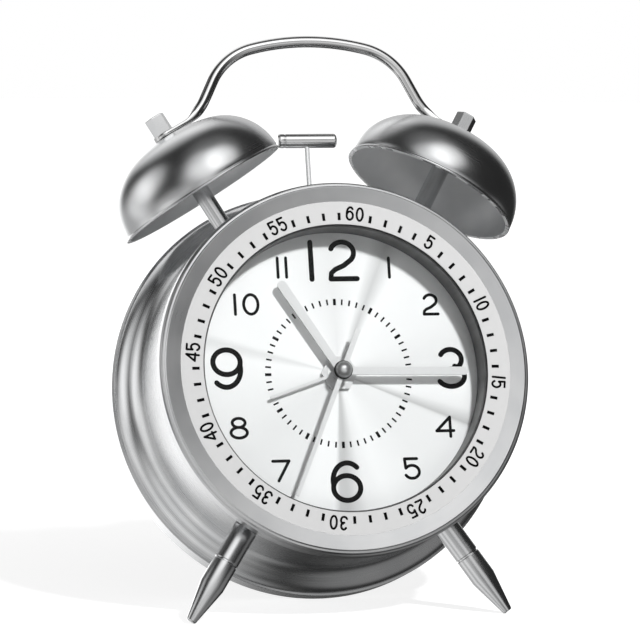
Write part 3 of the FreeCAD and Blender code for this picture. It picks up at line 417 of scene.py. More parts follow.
CASE_WALL = 0.8
DRUM_RADIUS, DRUM_FRONT, STRAIGHT_TO = 50.4, -7.3, -3.5
FLARE_RADIUS, FLARE_FROM, FLARE_BEND = 50.9, 19.0, 9.5
TURN_RADIUS, TURN_FROM, TURN_BEND = 53.2, 25.2, 8.0
BAND_RADIUS, BAND_FROM, BAND_TO = 56.7, 31.0, 31.7
RIM_RADIUS, RIM_FRONT, RIM_BACK, RIM_ROUND = 57.4, 32.0, 38.6, 0.4
COVER_FRONT = 32.4
HAMMER_PLANE = 20.0
back_axis = Vector((0, 1, 0))
drum_centre = Vector((0, 0, 0))
satin_steel = finish(
    "satin_steel", "satin_steel", {"Metallic": 1.0},
    brushed(drum_centre, back_axis, 0.66, 0.27, 0.0008))
case_shell = piece("case_drum", lathe(eased(outline(
    (DRUM_RADIUS, DRUM_FRONT), (DRUM_RADIUS, STRAIGHT_TO), (FLARE_RADIUS, FLARE_FROM, -FLARE_BEND),
    (TURN_RADIUS, TURN_FROM, TURN_BEND), (BAND_RADIUS, BAND_FROM), (BAND_RADIUS, BAND_TO),
    (RIM_RADIUS, RIM_FRONT), (RIM_RADIUS, RIM_BACK - RIM_ROUND, RIM_ROUND),
    (RIM_RADIUS - RIM_ROUND, RIM_BACK), (RIM_RADIUS - CASE_WALL, RIM_BACK),
    (RIM_RADIUS - CASE_WALL, COVER_FRONT), (BAND_RADIUS - CASE_WALL, COVER_FRONT),
    (BAND_RADIUS - CASE_WALL, BAND_FROM, CASE_WALL - TURN_BEND),
    (TURN_RADIUS - CASE_WALL, TURN_FROM, FLARE_BEND + CASE_WALL),
    (FLARE_RADIUS - CASE_WALL, FLARE_FROM), (DRUM_RADIUS - CASE_WALL, STRAIGHT_TO),
    (DRUM_RADIUS - CASE_WALL, DRUM_FRONT)), 0.12),
    turns=288), DIAL_AXIS, satin_steel, "case", "case_shell")
SLOT_WIDTH, SLOT_DEPTH = 5.8, 2.6
SLOT_BOTTOM, SLOT_TOP = 40, 56
cut_out(case_shell, block(
    (-SLOT_WIDTH / 2, HAMMER_PLANE - SLOT_DEPTH / 2, SLOT_BOTTOM),
    (SLOT_WIDTH / 2, HAMMER_PLANE + SLOT_DEPTH / 2, SLOT_TOP)))


# ---------------------------------------------------------------- bezel ring
# A pressed steel ring snapped over the front of the drum. Its face falls gently inward
# to the minute ring, and its edge steps back twice to the side.
RING_FRONT, RING_BACK, RING_RADIUS = -9.15, -8.15, 47.4
BEZEL_INNER, FACE_FOOT = 46.4, -9.18
FACE_RADIUS, FACE_CREST = 50.5, -9.6
STEP_RADIUS, STEP_FRONT, STEP_BACK = 51.55, -8.7, -8.1
BEZEL_RADIUS, SIDE_FRONT, SIDE_BACK = 52.0, -7.7, -4.0
bezel_steel = finish(
    "brushed_bezel", "brushed_bezel", {"Metallic": 1.0},
    brushed(drum_centre, back_axis, 0.60, 0.30, 0.006))
piece("bezel", lathe(eased(outline(
    (BEZEL_INNER, RING_FRONT), (BEZEL_INNER, FACE_FOOT), (FACE_RADIUS, FACE_CREST),
    (50.75, RING_FRONT), (51.3, RING_FRONT), (STEP_RADIUS, STEP_FRONT), (STEP_RADIUS, STEP_BACK),
    (BEZEL_RADIUS, SIDE_FRONT), (BEZEL_RADIUS, SIDE_BACK), (DRUM_RADIUS, SIDE_BACK),
    (DRUM_RADIUS, RING_BACK), (RING_RADIUS, RING_BACK), (RING_RADIUS, RING_FRONT)), 0.1), turns=288),
    DIAL_AXIS, bezel_steel, "case", "bezel_ring")


# ---------------------------------------------------------------- minute ring
# A flat ring of light grey card behind the bezel, printed in black with the minutes.
# It sits turned a little past upright, as it was glued in.
def steady(colour):
    """A wires function for a plain coat: faint mottling and a fine tooth."""
    def varying(place):
        mottle = noise(place, 0.6, 3.0)
        tooth = noise(place, 6.0)
        light = tuple(min(1.0, 1.05 * c) for c in colour[:3]) + (1,)
        return {"Base Color": tint(mottle, colour, light), "Normal": bump(tooth, 0.004)}
    return varying


RING_HOLE = 40.05
chapter_grey = finish(
    "chapter_grey", "chapter_grey", {"Roughness": 0.55}, steady(grey(0.42)))
piece("minute_ring", lathe(eased(outline(
    (RING_HOLE, RING_FRONT), (RING_RADIUS, RING_FRONT), (RING_RADIUS, RING_BACK),
    (RING_HOLE, RING_BACK)), 0.06), turns=288), DIAL_AXIS, chapter_grey, "case", "chapter_ring")

INK = 0.03
black_ink = finish(
    "black_ink", "knob_black", {"Roughness": 0.6, "Specular IOR Level": 0.1},
    steady(grey(0.002)))


def ribbon(mesh, path, half, seat, closed=False, round_ends=True):
    """Lays a thin flat line of ink through (x, z) points on the face at depth seat."""
    path = [Vector(point) for point in path]
    stations = []
    for k, here in enumerate(path):
        ahead = path[(k + 1) % len(path)] if closed or k + 1 < len(path) else here
        behind = path[k - 1] if closed or k else here
        stations.append((here, (ahead - behind).normalized(), half))
    if round_ends and not closed:
        turns = [math.radians(a) for a in (12, 35, 62)]
        first, start, _ = stations[0]
        last, end, _ = stations[-1]
        head = [(first - start * half * math.cos(a), start, half * math.sin(a)) for a in turns]
        tail = [(last + end * half * math.cos(a), end, half * math.sin(a)) for a in turns]
        stations = head + stations + tail[::-1]
    rows = []
    for here, along, reach in stations:
        side = Vector((along.y, -along.x)) * reach
        left, right = here - side, here + side
        rows.append([mesh.verts.new((p.x, level, p.y)) for p, level in (
            (left, seat), (right, seat), (right, seat - INK), (left, seat - INK))])
    pairs = zip(rows, rows[1:] + rows[:1]) if closed else zip(rows, rows[1:])
    for near, far in pairs:
        for k in range(4):
            mesh.faces.new((near[k - 1], near[k], far[k], far[k - 1]))
    if not closed:
        mesh.faces.new(rows[0])
        mesh.faces.new(rows[-1])


def bow(x, z, wide, tall, start, end):
    """Points of an elliptical arc between two angles, anticlockwise from 3 o'clock."""
    count = max(4, round(abs(end - start) / 9))
    angles = [math.radians(start + (end - start) * k / count) for k in range(count + 1)]
    return [(x + wide * math.cos(a), z + tall * math.sin(a)) for a in angles]


DIGITS = {                # strokes of each figure, one high, about its middle
    "0": [bow(0, 0, 0.37, 0.5, 0, 360)],
    "1": [[(0, -0.5), (0, 0), (0, 0.5)]],
    "2": [bow(-0.01, 0.21, 0.33, 0.29, 158, -42)
          + [(0.02, -0.14), (-0.22, -0.24), (-0.34, -0.34), (-0.36, -0.5)],
          [(-0.36, -0.5), (0.38, -0.5)]],
    "3": [bow(-0.02, 0.23, 0.31, 0.27, 150, -70) + [(-0.06, -0.03)],
          bow(-0.03, -0.22, 0.38, 0.28, 72, -150)],
    "4": [[(0.28, -0.5), (0.28, 0.5)], [(0.28, 0.5), (-0.44, -0.2)],
          [(-0.44, -0.2), (0.46, -0.2)]],
    "5": [[(0.28, 0.5), (-0.36, 0.5)], [(-0.36, 0.5), (-0.32, 0.04)],
          bow(0, -0.17, 0.38, 0.33, 145, -150)],
    "6": [bow(0.03, 0.02, 0.41, 0.48, 48, 190), bow(0.0, -0.17, 0.38, 0.33, 0, 360)],
    "7": [[(-0.42, 0.5), (0.42, 0.5)], [(0.42, 0.5), (-0.16, -0.5)]],
    "8": [bow(0, 0.27, 0.33, 0.23, 0, 360), bow(0, -0.23, 0.42, 0.27, 0, 360)],
    "9": [bow(0.0, 0.17, 0.38, 0.33, 0, 360), bow(-0.03, -0.02, 0.41, 0.48, 10, -132)],
}


def figure(mesh, text, centre, height, half, seat, turn=0.0, wide=1.0, gap=0.5):
    """Writes a number about a centre, turned clockwise in degrees from upright."""
    spans = [0 if digit == "1" else 0.76 * wide for digit in text]
    left = -(sum(spans) + gap * (len(text) - 1)) / 2
    spin = Matrix.Rotation(math.radians(-turn), 2)
    for digit, span in zip(text, spans):
        for path in DIGITS[digit]:
            closed = Vector(path[0]) - Vector(path[-1])
            loop = closed.length < 1e-6
            points = [Vector(centre) + spin @ Vector(((left + span / 2 + x * wide) * height,
                                                     z * height)) for x, z in path]
            ribbon(mesh, points[:-1] if loop else points, half, seat, closed=loop)
        left += span + gap


def around(angle, radius):
    """The (x, z) spot at a clockwise angle from 12 o'clock."""
    return Vector((math.sin(math.radians(angle)), math.cos(math.radians(angle)))) * radius


RING_TURN = 6.7
MINUTE_STEP = 6.0
TICK_FROM, TICK_TO, TICK_HALF = 41.15, 43.2, 0.41
NUMBER_RADIUS, NUMBER_HEIGHT, NUMBER_HALF = 43.1, 3.5, 0.30
mesh = bmesh.new()
for minute in range(1, 61):
    angle = minute * MINUTE_STEP + RING_TURN
    if minute % 5:
        ribbon(mesh, [around(angle, TICK_FROM), around(angle, TICK_TO)], TICK_HALF, RING_FRONT,
               round_ends=False)
    else:
        figure(mesh, str(minute), around(angle, NUMBER_RADIUS), NUMBER_HEIGHT, NUMBER_HALF,
               RING_FRONT, turn=angle, wide=0.66, gap=0.3)
piece("minute_ring_print", mesh, Matrix(), black_ink, "case")


# ---------------------------------------------------------------- reflector and glass
# The reflector is a short dull silver tube between dial and minute ring, its colour darkened
# by painted shade, and the glass is a flat disc held at its front end.
TUBE_BORE, TUBE_RADIUS = 39.5, 40.4
GLASS_RADIUS, GLASS_FRONT = 40.0, -9.05
STREAKS = 14.0


def streaked(place):
    """Wires of the tube: faint streaks that run front to back, on a colour darkened by painted
    shade.
    """
    x = place.node("SeparateXYZ", None, {0: place}, 0)
    z = place.node("SeparateXYZ", None, {0: place}, 2)
    turned = x.reckon("ARCTAN2", x, z)
    streaks = noise(turned.node("CombineXYZ", None, {0: turned * STREAKS}), 1.0, 3.0)
    # Painted shade: the tube's colour is kept dark, with the lighter streaks of its brushing.
    return {"Base Color": tint(streaks, grey(0.10), grey(0.26)),
            "Roughness": 0.42 + streaks * 0.14}


reflector_silver = finish(
    "reflector_silver", "reflector_silver", {"Metallic": 0.9}, streaked)
piece("reflector", lathe(eased(outline(
    (TUBE_BORE, 0), (TUBE_RADIUS, 0), (TUBE_RADIUS, DRUM_FRONT), (DRUM_RADIUS, DRUM_FRONT),
    (DRUM_RADIUS, RING_BACK), (TUBE_BORE, RING_BACK)), 0.08), turns=288),
    DIAL_AXIS, reflector_silver, "case", "dial_reflector")

clear_glass = bpy.data.materials.new("clear_glass")
clear_glass["slot"] = "clear_glass"
clear_glass.use_nodes = True
tree = clear_glass.node_tree
tree.nodes.remove(tree.nodes["Principled BSDF"])
rim_light = Wire(tree, tree.nodes.new("ShaderNodeFresnel").outputs[0])
rim_light.socket.node.inputs["IOR"].default_value = 1.45
through = rim_light.node("BsdfTransparent", None, {"Color": (0.985, 0.99, 0.99, 1)})
glint = rim_light.node("BsdfGlossy", None, {"Color": (0.4, 0.4, 0.4, 1), "Roughness": 0.03})
pane = rim_light.node("MixShader", None, {0: rim_light, 1: through, 2: glint})
tree.links.new(pane.socket, tree.nodes["Material Output"].inputs["Surface"])
piece("glass", lathe(eased(outline(
    (0, RING_BACK), (0, GLASS_FRONT), (GLASS_RADIUS, GLASS_FRONT), (GLASS_RADIUS, RING_BACK)),
    0.1), turns=192),
    DIAL_AXIS, clear_glass, "case", "glass_lens")


# ---------------------------------------------------------------- dial
# An aluminium plate brushed out from its middle, with light and grey wedges of painted sheen
# set into its colour, and printed with twelve figures and the sixty marks of the alarm track.
DIAL_PAINTED_SHEEN = (              # hour on the dial, brightness of the painted sheen there
    (0.0, 0.86), (0.55, 0.97), (0.80, 0.66), (1.05, 0.97), (2.1, 0.92), (2.7, 0.84),
    (3.2, 0.97), (3.55, 0.90), (3.78, 0.52), (3.80, 0.88), (4.6, 0.88), (5.4, 0.97),
    (5.7, 0.90), (5.98, 0.58), (6.13, 0.62), (6.15, 0.97), (6.6, 0.97), (6.85, 0.86),
    (7.7, 0.84), (8.5, 0.90), (9.3, 0.98), (9.5, 0.80), (9.62, 0.97), (11.0, 0.97),
    (12.0, 0.86),
)
DIAL_HOLE, DIAL_RADIUS, DIAL_THICK = 3.5, 49.5, 1.0
BRUSH_HAIRS = 900.0


def sunburst(place):
    """Wires of the dial's brushing, with wedges of painted sheen in its colour."""
    x = place.node("SeparateXYZ", None, {0: place}, 0)
    z = place.node("SeparateXYZ", None, {0: place}, 2)
    turned = x.reckon("ARCTAN2", x, z) / (2 * math.pi)
    share = turned.reckon("FRACT", turned)
    # Painted sheen: light and grey wedges set into the base colour by angle round the dial.
    painted_sheen = share.node("ValToRGB", {"stops": [(hour / 12, level) for hour, level in DIAL_PAINTED_SHEEN]},
                     {0: share})
    hairs = noise(share.node("CombineXYZ", None, {0: share * BRUSH_HAIRS}), 1.0, 2.0)
    level = painted_sheen * (0.97 + hairs * 0.06)
    shade = level.node("CombineColor", None, {0: level, 1: level, 2: level})
    return {"Base Color": shade, "Roughness": 0.36 + hairs * 0.1, "Normal": bump(hairs, 0.003)}


sunray_silver = finish("sunray_silver", "sunray_silver", {"Metallic": 0.15}, sunburst)
piece("dial", lathe(eased(outline(
    (DIAL_HOLE, 0), (DIAL_RADIUS, 0), (DIAL_RADIUS, DIAL_THICK), (DIAL_HOLE, DIAL_THICK)), 0.05),
    turns=192), DIAL_AXIS, sunray_silver, "case", "dial_plate")

BOLD_FIGURES = {"12": (0.5, 31.7), "3": (32.3, 0.9), "6": (0.3, -30.2), "9": (-31.5, 1.9)}
SLIM_FIGURES = {
    "1": (16.2, 29.5), "2": (27.4, 18.9), "4": (29.2, -15.6), "5": (19.0, -27.0),
    "7": (-17.9, -26.8), "8": (-29.1, -14.7), "10": (-24.9, 19.7), "11": (-14.3, 29.9)}
BOLD_HEIGHT, BOLD_HALF = 10.4, 0.72
SLIM_HEIGHT, SLIM_HALF = 5.45, 0.42
ALARM_TRACK = 20.0
HOUR_MARK, MINUTE_MARK = (0.9, 0.40), (0.8, 0.24)
mesh = bmesh.new()
for text, centre in BOLD_FIGURES.items():
    figure(mesh, text, centre, BOLD_HEIGHT, BOLD_HALF, 0, wide=0.97)
for text, centre in SLIM_FIGURES.items():
    figure(mesh, text, centre, SLIM_HEIGHT, SLIM_HALF, 0, gap=0.44)
for minute in range(60):
    reach, half = MINUTE_MARK if minute % 5 else HOUR_MARK
    angle = minute * MINUTE_STEP
    ribbon(mesh, [around(angle, ALARM_TRACK - reach), around(angle, ALARM_TRACK + reach)],
           half, 0, round_ends=False)
piece("dial_print", mesh, Matrix(), black_ink, "case")


# ---------------------------------------------------------------- hands
# Four pressed aluminium hands on the nested tubes: alarm lowest, then hour, minute and
# second. Each is a flat bar on a round hub, and a polished ball caps the second hand.
HAND_DEPTH = 0.35


def satin_hand(place):
    """Wires of a hand's face: a fine pale satin."""
    grain = noise(place, 2.2, 4.0)
    return {"Base Color": tint(grain, grey(0.76), grey(0.86)), "Roughness": 0.30 + grain * 0.12}


hand_silver = finish("hand_silver", "hand_silver", {"Metallic": 0.35}, satin_hand)


def sheared_edge(place):
    """Wires of a hand's sides: a painted shade keeps them near black, with a little grain."""
    grain = noise(place, 4.0, 2.0)
    return {"Base Color": tint(grain, grey(0.10), grey(0.18)), "Roughness": 0.25 + grain * 0.1}


# Painted shade: the sides of the hands are coloured near black.
hand_painted_dark_side = finish("hand_painted_dark_side", "hand_silver", {"Metallic": 1.0}, sheared_edge)


def hand(name, angle, front, hub, root, tip, reach, tail, round_tip, body, node):
    """A hand at a clock angle in degrees, then in mm: its front level, hub radius,

    half-widths at root and tip, reach, and the length of its tail.
    """
    half = math.asin(root / hub)
    if round_tip:
        edge = [(tip * math.cos(math.radians(a)), reach - tip + tip * math.sin(math.radians(a)))
                for a in range(0, 181, 15)]
    else:
        edge = [(tip, reach), (-tip, reach)]
    turns = 12
    arcs = [(math.pi / 2 + half, 2.5 * math.pi - half)]
    if tail:
        arcs = [(math.pi / 2 + half, 1.5 * math.pi - half),
                (1.5 * math.pi + half, 2.5 * math.pi - half)]
    for count, (start, end) in enumerate(arcs):
        if count:
            edge += [(-root, -tail), (root, -tail)]
        edge += [(hub * math.cos(start + (end - start) * k / turns),
                  hub * math.sin(start + (end - start) * k / turns)) for k in range(turns + 1)]
    mesh = bmesh.new()
    face = mesh.faces.new([mesh.verts.new((x, front, z)) for x, z in edge])
    grown = bmesh.ops.extrude_face_region(mesh, geom=[face])
    for vertex in grown["geom"]:
        if isinstance(vertex, bmesh.types.BMVert):
            vertex.co.y += HAND_DEPTH
    bmesh.ops.recalc_face_normals(mesh, faces=mesh.faces)
    rims = [e for e in mesh.edges if e.verts[0].co.y == e.verts[1].co.y]
    bmesh.ops.bevel(mesh, geom=rims, offset=0.07, segments=2, affect="EDGES")
    turn = Matrix.Rotation(math.radians(angle), 4, "Y")
    made = piece(name, mesh, turn, hand_silver, body, node)
    made.data.materials.append(hand_painted_dark_side)
    # The side faces of each hand take the painted dark shade.
    for polygon in made.data.polygons:
        polygon.material_index = 1 if abs(polygon.normal.dot(backward)) < 0.5 else 0


hand("alarm_pointer", 251.5, -1.75, 2.5, 0.45, 0.45, 21.3, 0, True, "alarm_work", "alarm_hand")
hand("hour_pointer", 328.0, -2.85, 2.3, 1.15, 1.35, 30.0, 0, True, "hour_work", "hour_hand")
hand("minute_pointer", 91.0, -3.8, 2.1, 1.1, 1.15, 36.0, 0, True, "minute_work", "minute_hand")
hand("second_pointer", 203.6, -5.35, 1.7, 0.75, 0.5, 37.7, 12.4, False, "second_work",
     "second_hand")

BALL_RADIUS, BALL_LEVEL, BALL_CUT = 2.6, -5.2, 1.1


def buffed(place):
    """Wires of the ball: pale metal on its front, darkened by a painted shade to near black at its
    waist.
    """
    depth = place.node("SeparateXYZ", None, {0: place}, 1)
    # Painted shade: the ball's colour runs dark towards its waist.
    painted_waist_shade = between(depth, BALL_LEVEL - 0.80 * BALL_RADIUS, BALL_LEVEL - 0.3 * BALL_RADIUS)
    haze = noise(place, 1.5)
    return {"Base Color": tint(painted_waist_shade, grey(0.95), grey(0.01)),
            "Roughness": 0.26 + haze * 0.08}


polished_steel = finish(
    "polished_steel", "polished_steel",
    {"Metallic": 0.93, "Specular Tint": (0, 0, 0, 1)}, buffed)
foot = math.sqrt(BALL_RADIUS ** 2 - BALL_CUT ** 2)
piece("second_ball", lathe(eased(outline(
    (0, BALL_LEVEL - BALL_RADIUS, BALL_RADIUS), (BALL_RADIUS, BALL_LEVEL, BALL_RADIUS),
    (foot, BALL_LEVEL + BALL_CUT), (0, BALL_LEVEL + BALL_CUT)), 0.05), turns=64),
    DIAL_AXIS, polished_steel, "second_work", "second_cap")


# ---------------------------------------------------------------- bells
# Two gongs drawn from steel sheet, satin outside and dull within, each with a thin
# beaded rim. Each sits on its post and leans out from the drum.
SIDES = {"left": -1, "right": 1}
BELL_ANGLE, BELL_PLANE, BELL_POLE = 30.0, 12.4, -3.0
BELL_RIM_AT = 65.0
WIDEST, WIDEST_AT, SHOULDER, BELL_HEIGHT, BELL_FLAT = 24.95, 1.4, 16.6, 19.2, 3.0
BELL_RIM, BEAD, BELL_WALL = 24.8, 0.25, 1.0
BOLT, BOLT_FOOT = 1.5, 46.4


def spoke(angle, plane, pole=0.0, distance=0.0):
    """A place on the drum whose local Z points out at a clockwise angle from 12."""
    stand = Matrix.Translation((0, plane, pole)) @ Matrix.Rotation(math.radians(angle), 4, "Y")
    return stand @ Matrix.Translation((0, 0, distance))


middle_x = WIDEST - SHOULDER
crown_rise = BELL_HEIGHT - WIDEST_AT
crown = (middle_x ** 2 + crown_rise ** 2 - SHOULDER ** 2) / (2 * (crown_rise - SHOULDER))
crown_floor = BELL_HEIGHT - crown


def crown_meets(radius):
    """Where a crown arc of this radius runs into the shoulder arc of a bell."""
    share = radius / (crown - SHOULDER)
    return middle_x * share, crown_floor + (WIDEST_AT - crown_floor) * share


def crown_height(radius):
    return crown_floor + math.sqrt(radius ** 2 - BELL_FLAT ** 2)


bell_top, bell_roof = crown_height(crown), crown_height(crown - BELL_WALL)
bell_shape = eased(outline(
    (BOLT, bell_top), (BELL_FLAT, bell_top, -crown), (*crown_meets(crown), -SHOULDER),
    (WIDEST, WIDEST_AT), (BELL_RIM, 3 * BEAD), (BELL_RIM + BEAD, 2 * BEAD),
    (BELL_RIM + BEAD, 0), (BELL_RIM - BELL_WALL, 0),
    (WIDEST - BELL_WALL, WIDEST_AT, SHOULDER - BELL_WALL),
    (*crown_meets(crown - BELL_WALL), crown - BELL_WALL),
    (BELL_FLAT, bell_roof), (BOLT, bell_roof), step=3.0), 0.15)
bell_pole = Vector((0, BELL_PLANE, BELL_POLE))
for side, sign in SIDES.items():
    place = spoke(sign * BELL_ANGLE, BELL_PLANE, BELL_POLE, BELL_RIM_AT)
    axis = place.to_3x3() @ Vector((0, 0, 1))
    outside = finish("bell_satin_" + side, "satin_steel", {"Metallic": 1.0},
                     brushed(bell_pole, axis, 0.62, 0.25, 0.002))
    inside = finish("bell_inside_" + side, "satin_steel", {"Metallic": 0.5},
                    brushed(bell_pole, axis, 0.78, 0.45, 0.002))
    gong = piece("gong_" + side, lathe(bell_shape), place, outside, "case", "bell_" + side)
    gong.data.materials.append(inside)
    heart = DRUM @ place @ Vector((0, 0, 0))
    for polygon in gong.data.polygons:
        inward = polygon.normal.dot(polygon.center - heart) < 0
        polygon.material_index = 1 if inward else 0


# ---------------------------------------------------------------- bell posts and nuts
# A turned steel post holds each bell off the drum, threaded at both ends, with a tall
# hexagon nut on top of the handle's foot.
LUG_DEPTH = 1.4
nut_seat = BELL_RIM_AT + bell_top + LUG_DEPTH
NUT_FLATS, NUT_HEIGHT, NUT_BORE = 5.2, 5.2, 4.4
POST_RADIUS, POST_FOOT = 2.5, 53.55
TOP_GAP = 0.1


def hexagon_nut(flats, seat, height, ease=0.35):
    """A hexagon bar end with its top corners turned off."""
    mesh = bmesh.new()
    bmesh.ops.create_cone(mesh, cap_ends=True, segments=6, radius1=flats / math.sqrt(3),
                          radius2=flats / math.sqrt(3), depth=height)
    bmesh.ops.rotate(mesh, verts=mesh.verts, matrix=Matrix.Rotation(math.radians(30), 3, "Z"))
    bmesh.ops.translate(mesh, verts=mesh.verts, vec=(0, 0, seat + height / 2))
    top = [e for e in mesh.edges if all(v.co.z > seat + height / 2 for v in e.verts)]
    bmesh.ops.bevel(mesh, geom=top, offset=ease, segments=3, affect="EDGES", profile=0.6)
    return mesh


for side, sign in SIDES.items():
    place = spoke(sign * BELL_ANGLE, BELL_PLANE, BELL_POLE)
    axis = place.to_3x3() @ Vector((0, 0, 1))
    steel = finish("post_steel_" + side, "polished_steel", {"Metallic": 1.0},
                   brushed(bell_pole, axis, 0.66, 0.18, 0.002))
    piece("post_" + side, lathe(eased(outline(
        (0, BOLT_FOOT), (BOLT, BOLT_FOOT), (BOLT, POST_FOOT), (POST_RADIUS, POST_FOOT),
        (POST_RADIUS, BELL_RIM_AT + bell_roof), (BOLT, BELL_RIM_AT + bell_roof),
        (BOLT, nut_seat + NUT_BORE - TOP_GAP), (0, nut_seat + NUT_BORE - TOP_GAP)), 0.12),
        turns=64),
        place, steel, "case", "bell_post_" + side)
    piece("tall_nut_" + side, hexagon_nut(NUT_FLATS, nut_seat, NUT_HEIGHT), place, steel,
          "case", "cap_nut_" + side)


# ---------------------------------------------------------------- legs
# Two turned steel legs screwed into the drum, each with a fine groove half way down
# and a long taper to a blunt tip.
LEG_ANGLE, LEG_PLANE = 33.8, 4.0
LEG_RADIUS, LEG_FOOT, TAPER_FROM = 3.5, 50.75, 69.0
GROOVE_RADIUS, GROOVE_FROM, GROOVE_TO = 3.2, 61.1, 61.7
leg_shape = eased(outline(
    (0, BOLT_FOOT), (BOLT, BOLT_FOOT), (BOLT, LEG_FOOT), (LEG_RADIUS, LEG_FOOT),
    (LEG_RADIUS, GROOVE_FROM), (GROOVE_RADIUS, GROOVE_FROM), (GROOVE_RADIUS, GROOVE_TO),
    (LEG_RADIUS, GROOVE_TO), (LEG_RADIUS, TAPER_FROM), (1.4, 80.1), (1.1, 80.4), (0, 80.4)), 0.15)
for side, sign in SIDES.items():
    place = spoke(180 - sign * LEG_ANGLE, LEG_PLANE)
    axis = place.to_3x3() @ Vector((0, 0, 1))
    steel = finish("leg_steel_" + side, "satin_steel", {"Metallic": 1.0},
                   brushed(Vector((0, LEG_PLANE, 0)), axis, 0.66, 0.22, 0.003))
    piece("turned_leg_" + side, lathe(leg_shape, turns=96), place, steel, "case", "leg_" + side)


# ---------------------------------------------------------------- handle
# One bent steel rod, polished, whose ends are forged flat into feet. Each foot lies on
# top of a bell and is held under the tall nut.
ROD, ROD_LEVEL = 1.6, 85.0
ELBOW_RUN, ELBOW_BEND = 11.3, 16.8
SLOPE_RUN, SLOPE = 18.9, 63.7
SHOULDER_BEND, ARCH_ANGLE = 17.8, 14.3
FOOT_HALF, FOOT_END, ROD_BEGINS = 3.5, 6.5, 12.0


def along(point, distance, angle):
    """The point moved by a distance towards the middle and up, at an angle above level."""
    a = math.radians(angle)
    return point[0] - distance * math.cos(a), point[1] + distance * math.sin(a)


def half_tangent(angle):
    return math.tan(math.radians(angle) / 2)


a = math.radians(BELL_ANGLE)
foot = (ROD_LEVEL * math.sin(a), BELL_POLE + ROD_LEVEL * math.cos(a))
elbow = along(foot, ELBOW_RUN, BELL_ANGLE)
shoulder = along(elbow, SLOPE_RUN, SLOPE)
elbow_cut = ELBOW_BEND * half_tangent(SLOPE - BELL_ANGLE)
shoulder_cut = SHOULDER_BEND * half_tangent(SLOPE - ARCH_ANGLE)
arch_end = along(shoulder, shoulder_cut, ARCH_ANGLE)
arch_top = arch_end[1] + arch_end[0] * half_tangent(ARCH_ANGLE)
arch_bend = arch_end[0] / math.sin(math.radians(ARCH_ANGLE))
half_route = outline(
    (0, arch_top, -arch_bend), (*arch_end, -SHOULDER_BEND),
    along(shoulder, -shoulder_cut, SLOPE), (*along(elbow, elbow_cut, SLOPE), ELBOW_BEND),
    along(elbow, -elbow_cut, BELL_ANGLE), foot, along(foot, -FOOT_HALF, BELL_ANGLE), step=1.2)
route = [Vector((-p.x, p.y)) for p in half_route[:0:-1]] + half_route
PACE = 0.5
stations = []
for start, end in zip(route, route[1:]):
    count = max(1, round((end - start).length / PACE))
    stations += [start.lerp(end, k / count) for k in range(count)]
stations.append(route[-1])
travel = [0.0]
for start, end in zip(stations, stations[1:]):
    travel.append(travel[-1] + (end - start).length)
ROUND_SIDES = 32
mesh = bmesh.new()
rows = []
for k, here in enumerate(stations):
    ahead, behind = stations[min(k + 1, len(stations) - 1)], stations[max(k - 1, 0)]
    forward = (ahead - behind).normalized()
    outward = Vector((-forward.y, forward.x))
    from_end = max(0.02, min(travel[k], travel[-1] - travel[k]))
    from_axis = from_end - FOOT_HALF
    forged = min(1.0, max(0.0, (ROD_BEGINS - from_axis) / (ROD_BEGINS - FOOT_END)))
    forged = forged * forged * (3 - 2 * forged)
    wide = ROD + (FOOT_HALF - ROD) * min(1.0, max(0.0, (ROD_BEGINS - from_axis) / ROD_BEGINS))
    if from_axis < 0:
        wide = math.sqrt(FOOT_HALF ** 2 - from_axis ** 2)
    thick = ROD + (LUG_DEPTH / 2 - ROD) * forged
    centre = here - outward * (0.2 * forged)
    power = 2 / (2 + 4 * forged)
    row = []
    for j in range(ROUND_SIDES):
        angle = 2 * math.pi * j / ROUND_SIDES
        c, s = math.cos(angle), math.sin(angle)
        y = math.copysign(abs(c) ** power, c) * wide
        lift = outward * (math.copysign(abs(s) ** power, s) * thick)
        row.append(mesh.verts.new((centre.x + lift.x, BELL_PLANE + y, centre.y + lift.y)))
    rows.append(row)
for near, far in zip(rows, rows[1:]):
    for j in range(ROUND_SIDES):
        mesh.faces.new((near[j - 1], near[j], far[j], far[j - 1]))
mesh.faces.new(rows[0])
mesh.faces.new(rows[-1])
bmesh.ops.recalc_face_normals(mesh, faces=mesh.faces)


def polished(place):
    """Wires of bright rod: long faint draw marks and slight haze."""
    haze = noise(place, 0.25, 2.0)
    return {"Base Color": tint(haze, grey(0.66), grey(0.76)), "Roughness": 0.11 + haze * 0.08}


bright_rod = finish("bright_rod", "polished_steel", {"Metallic": 1.0}, polished)
piece("carry_handle", mesh, Matrix(), bright_rod, "case", "handle")


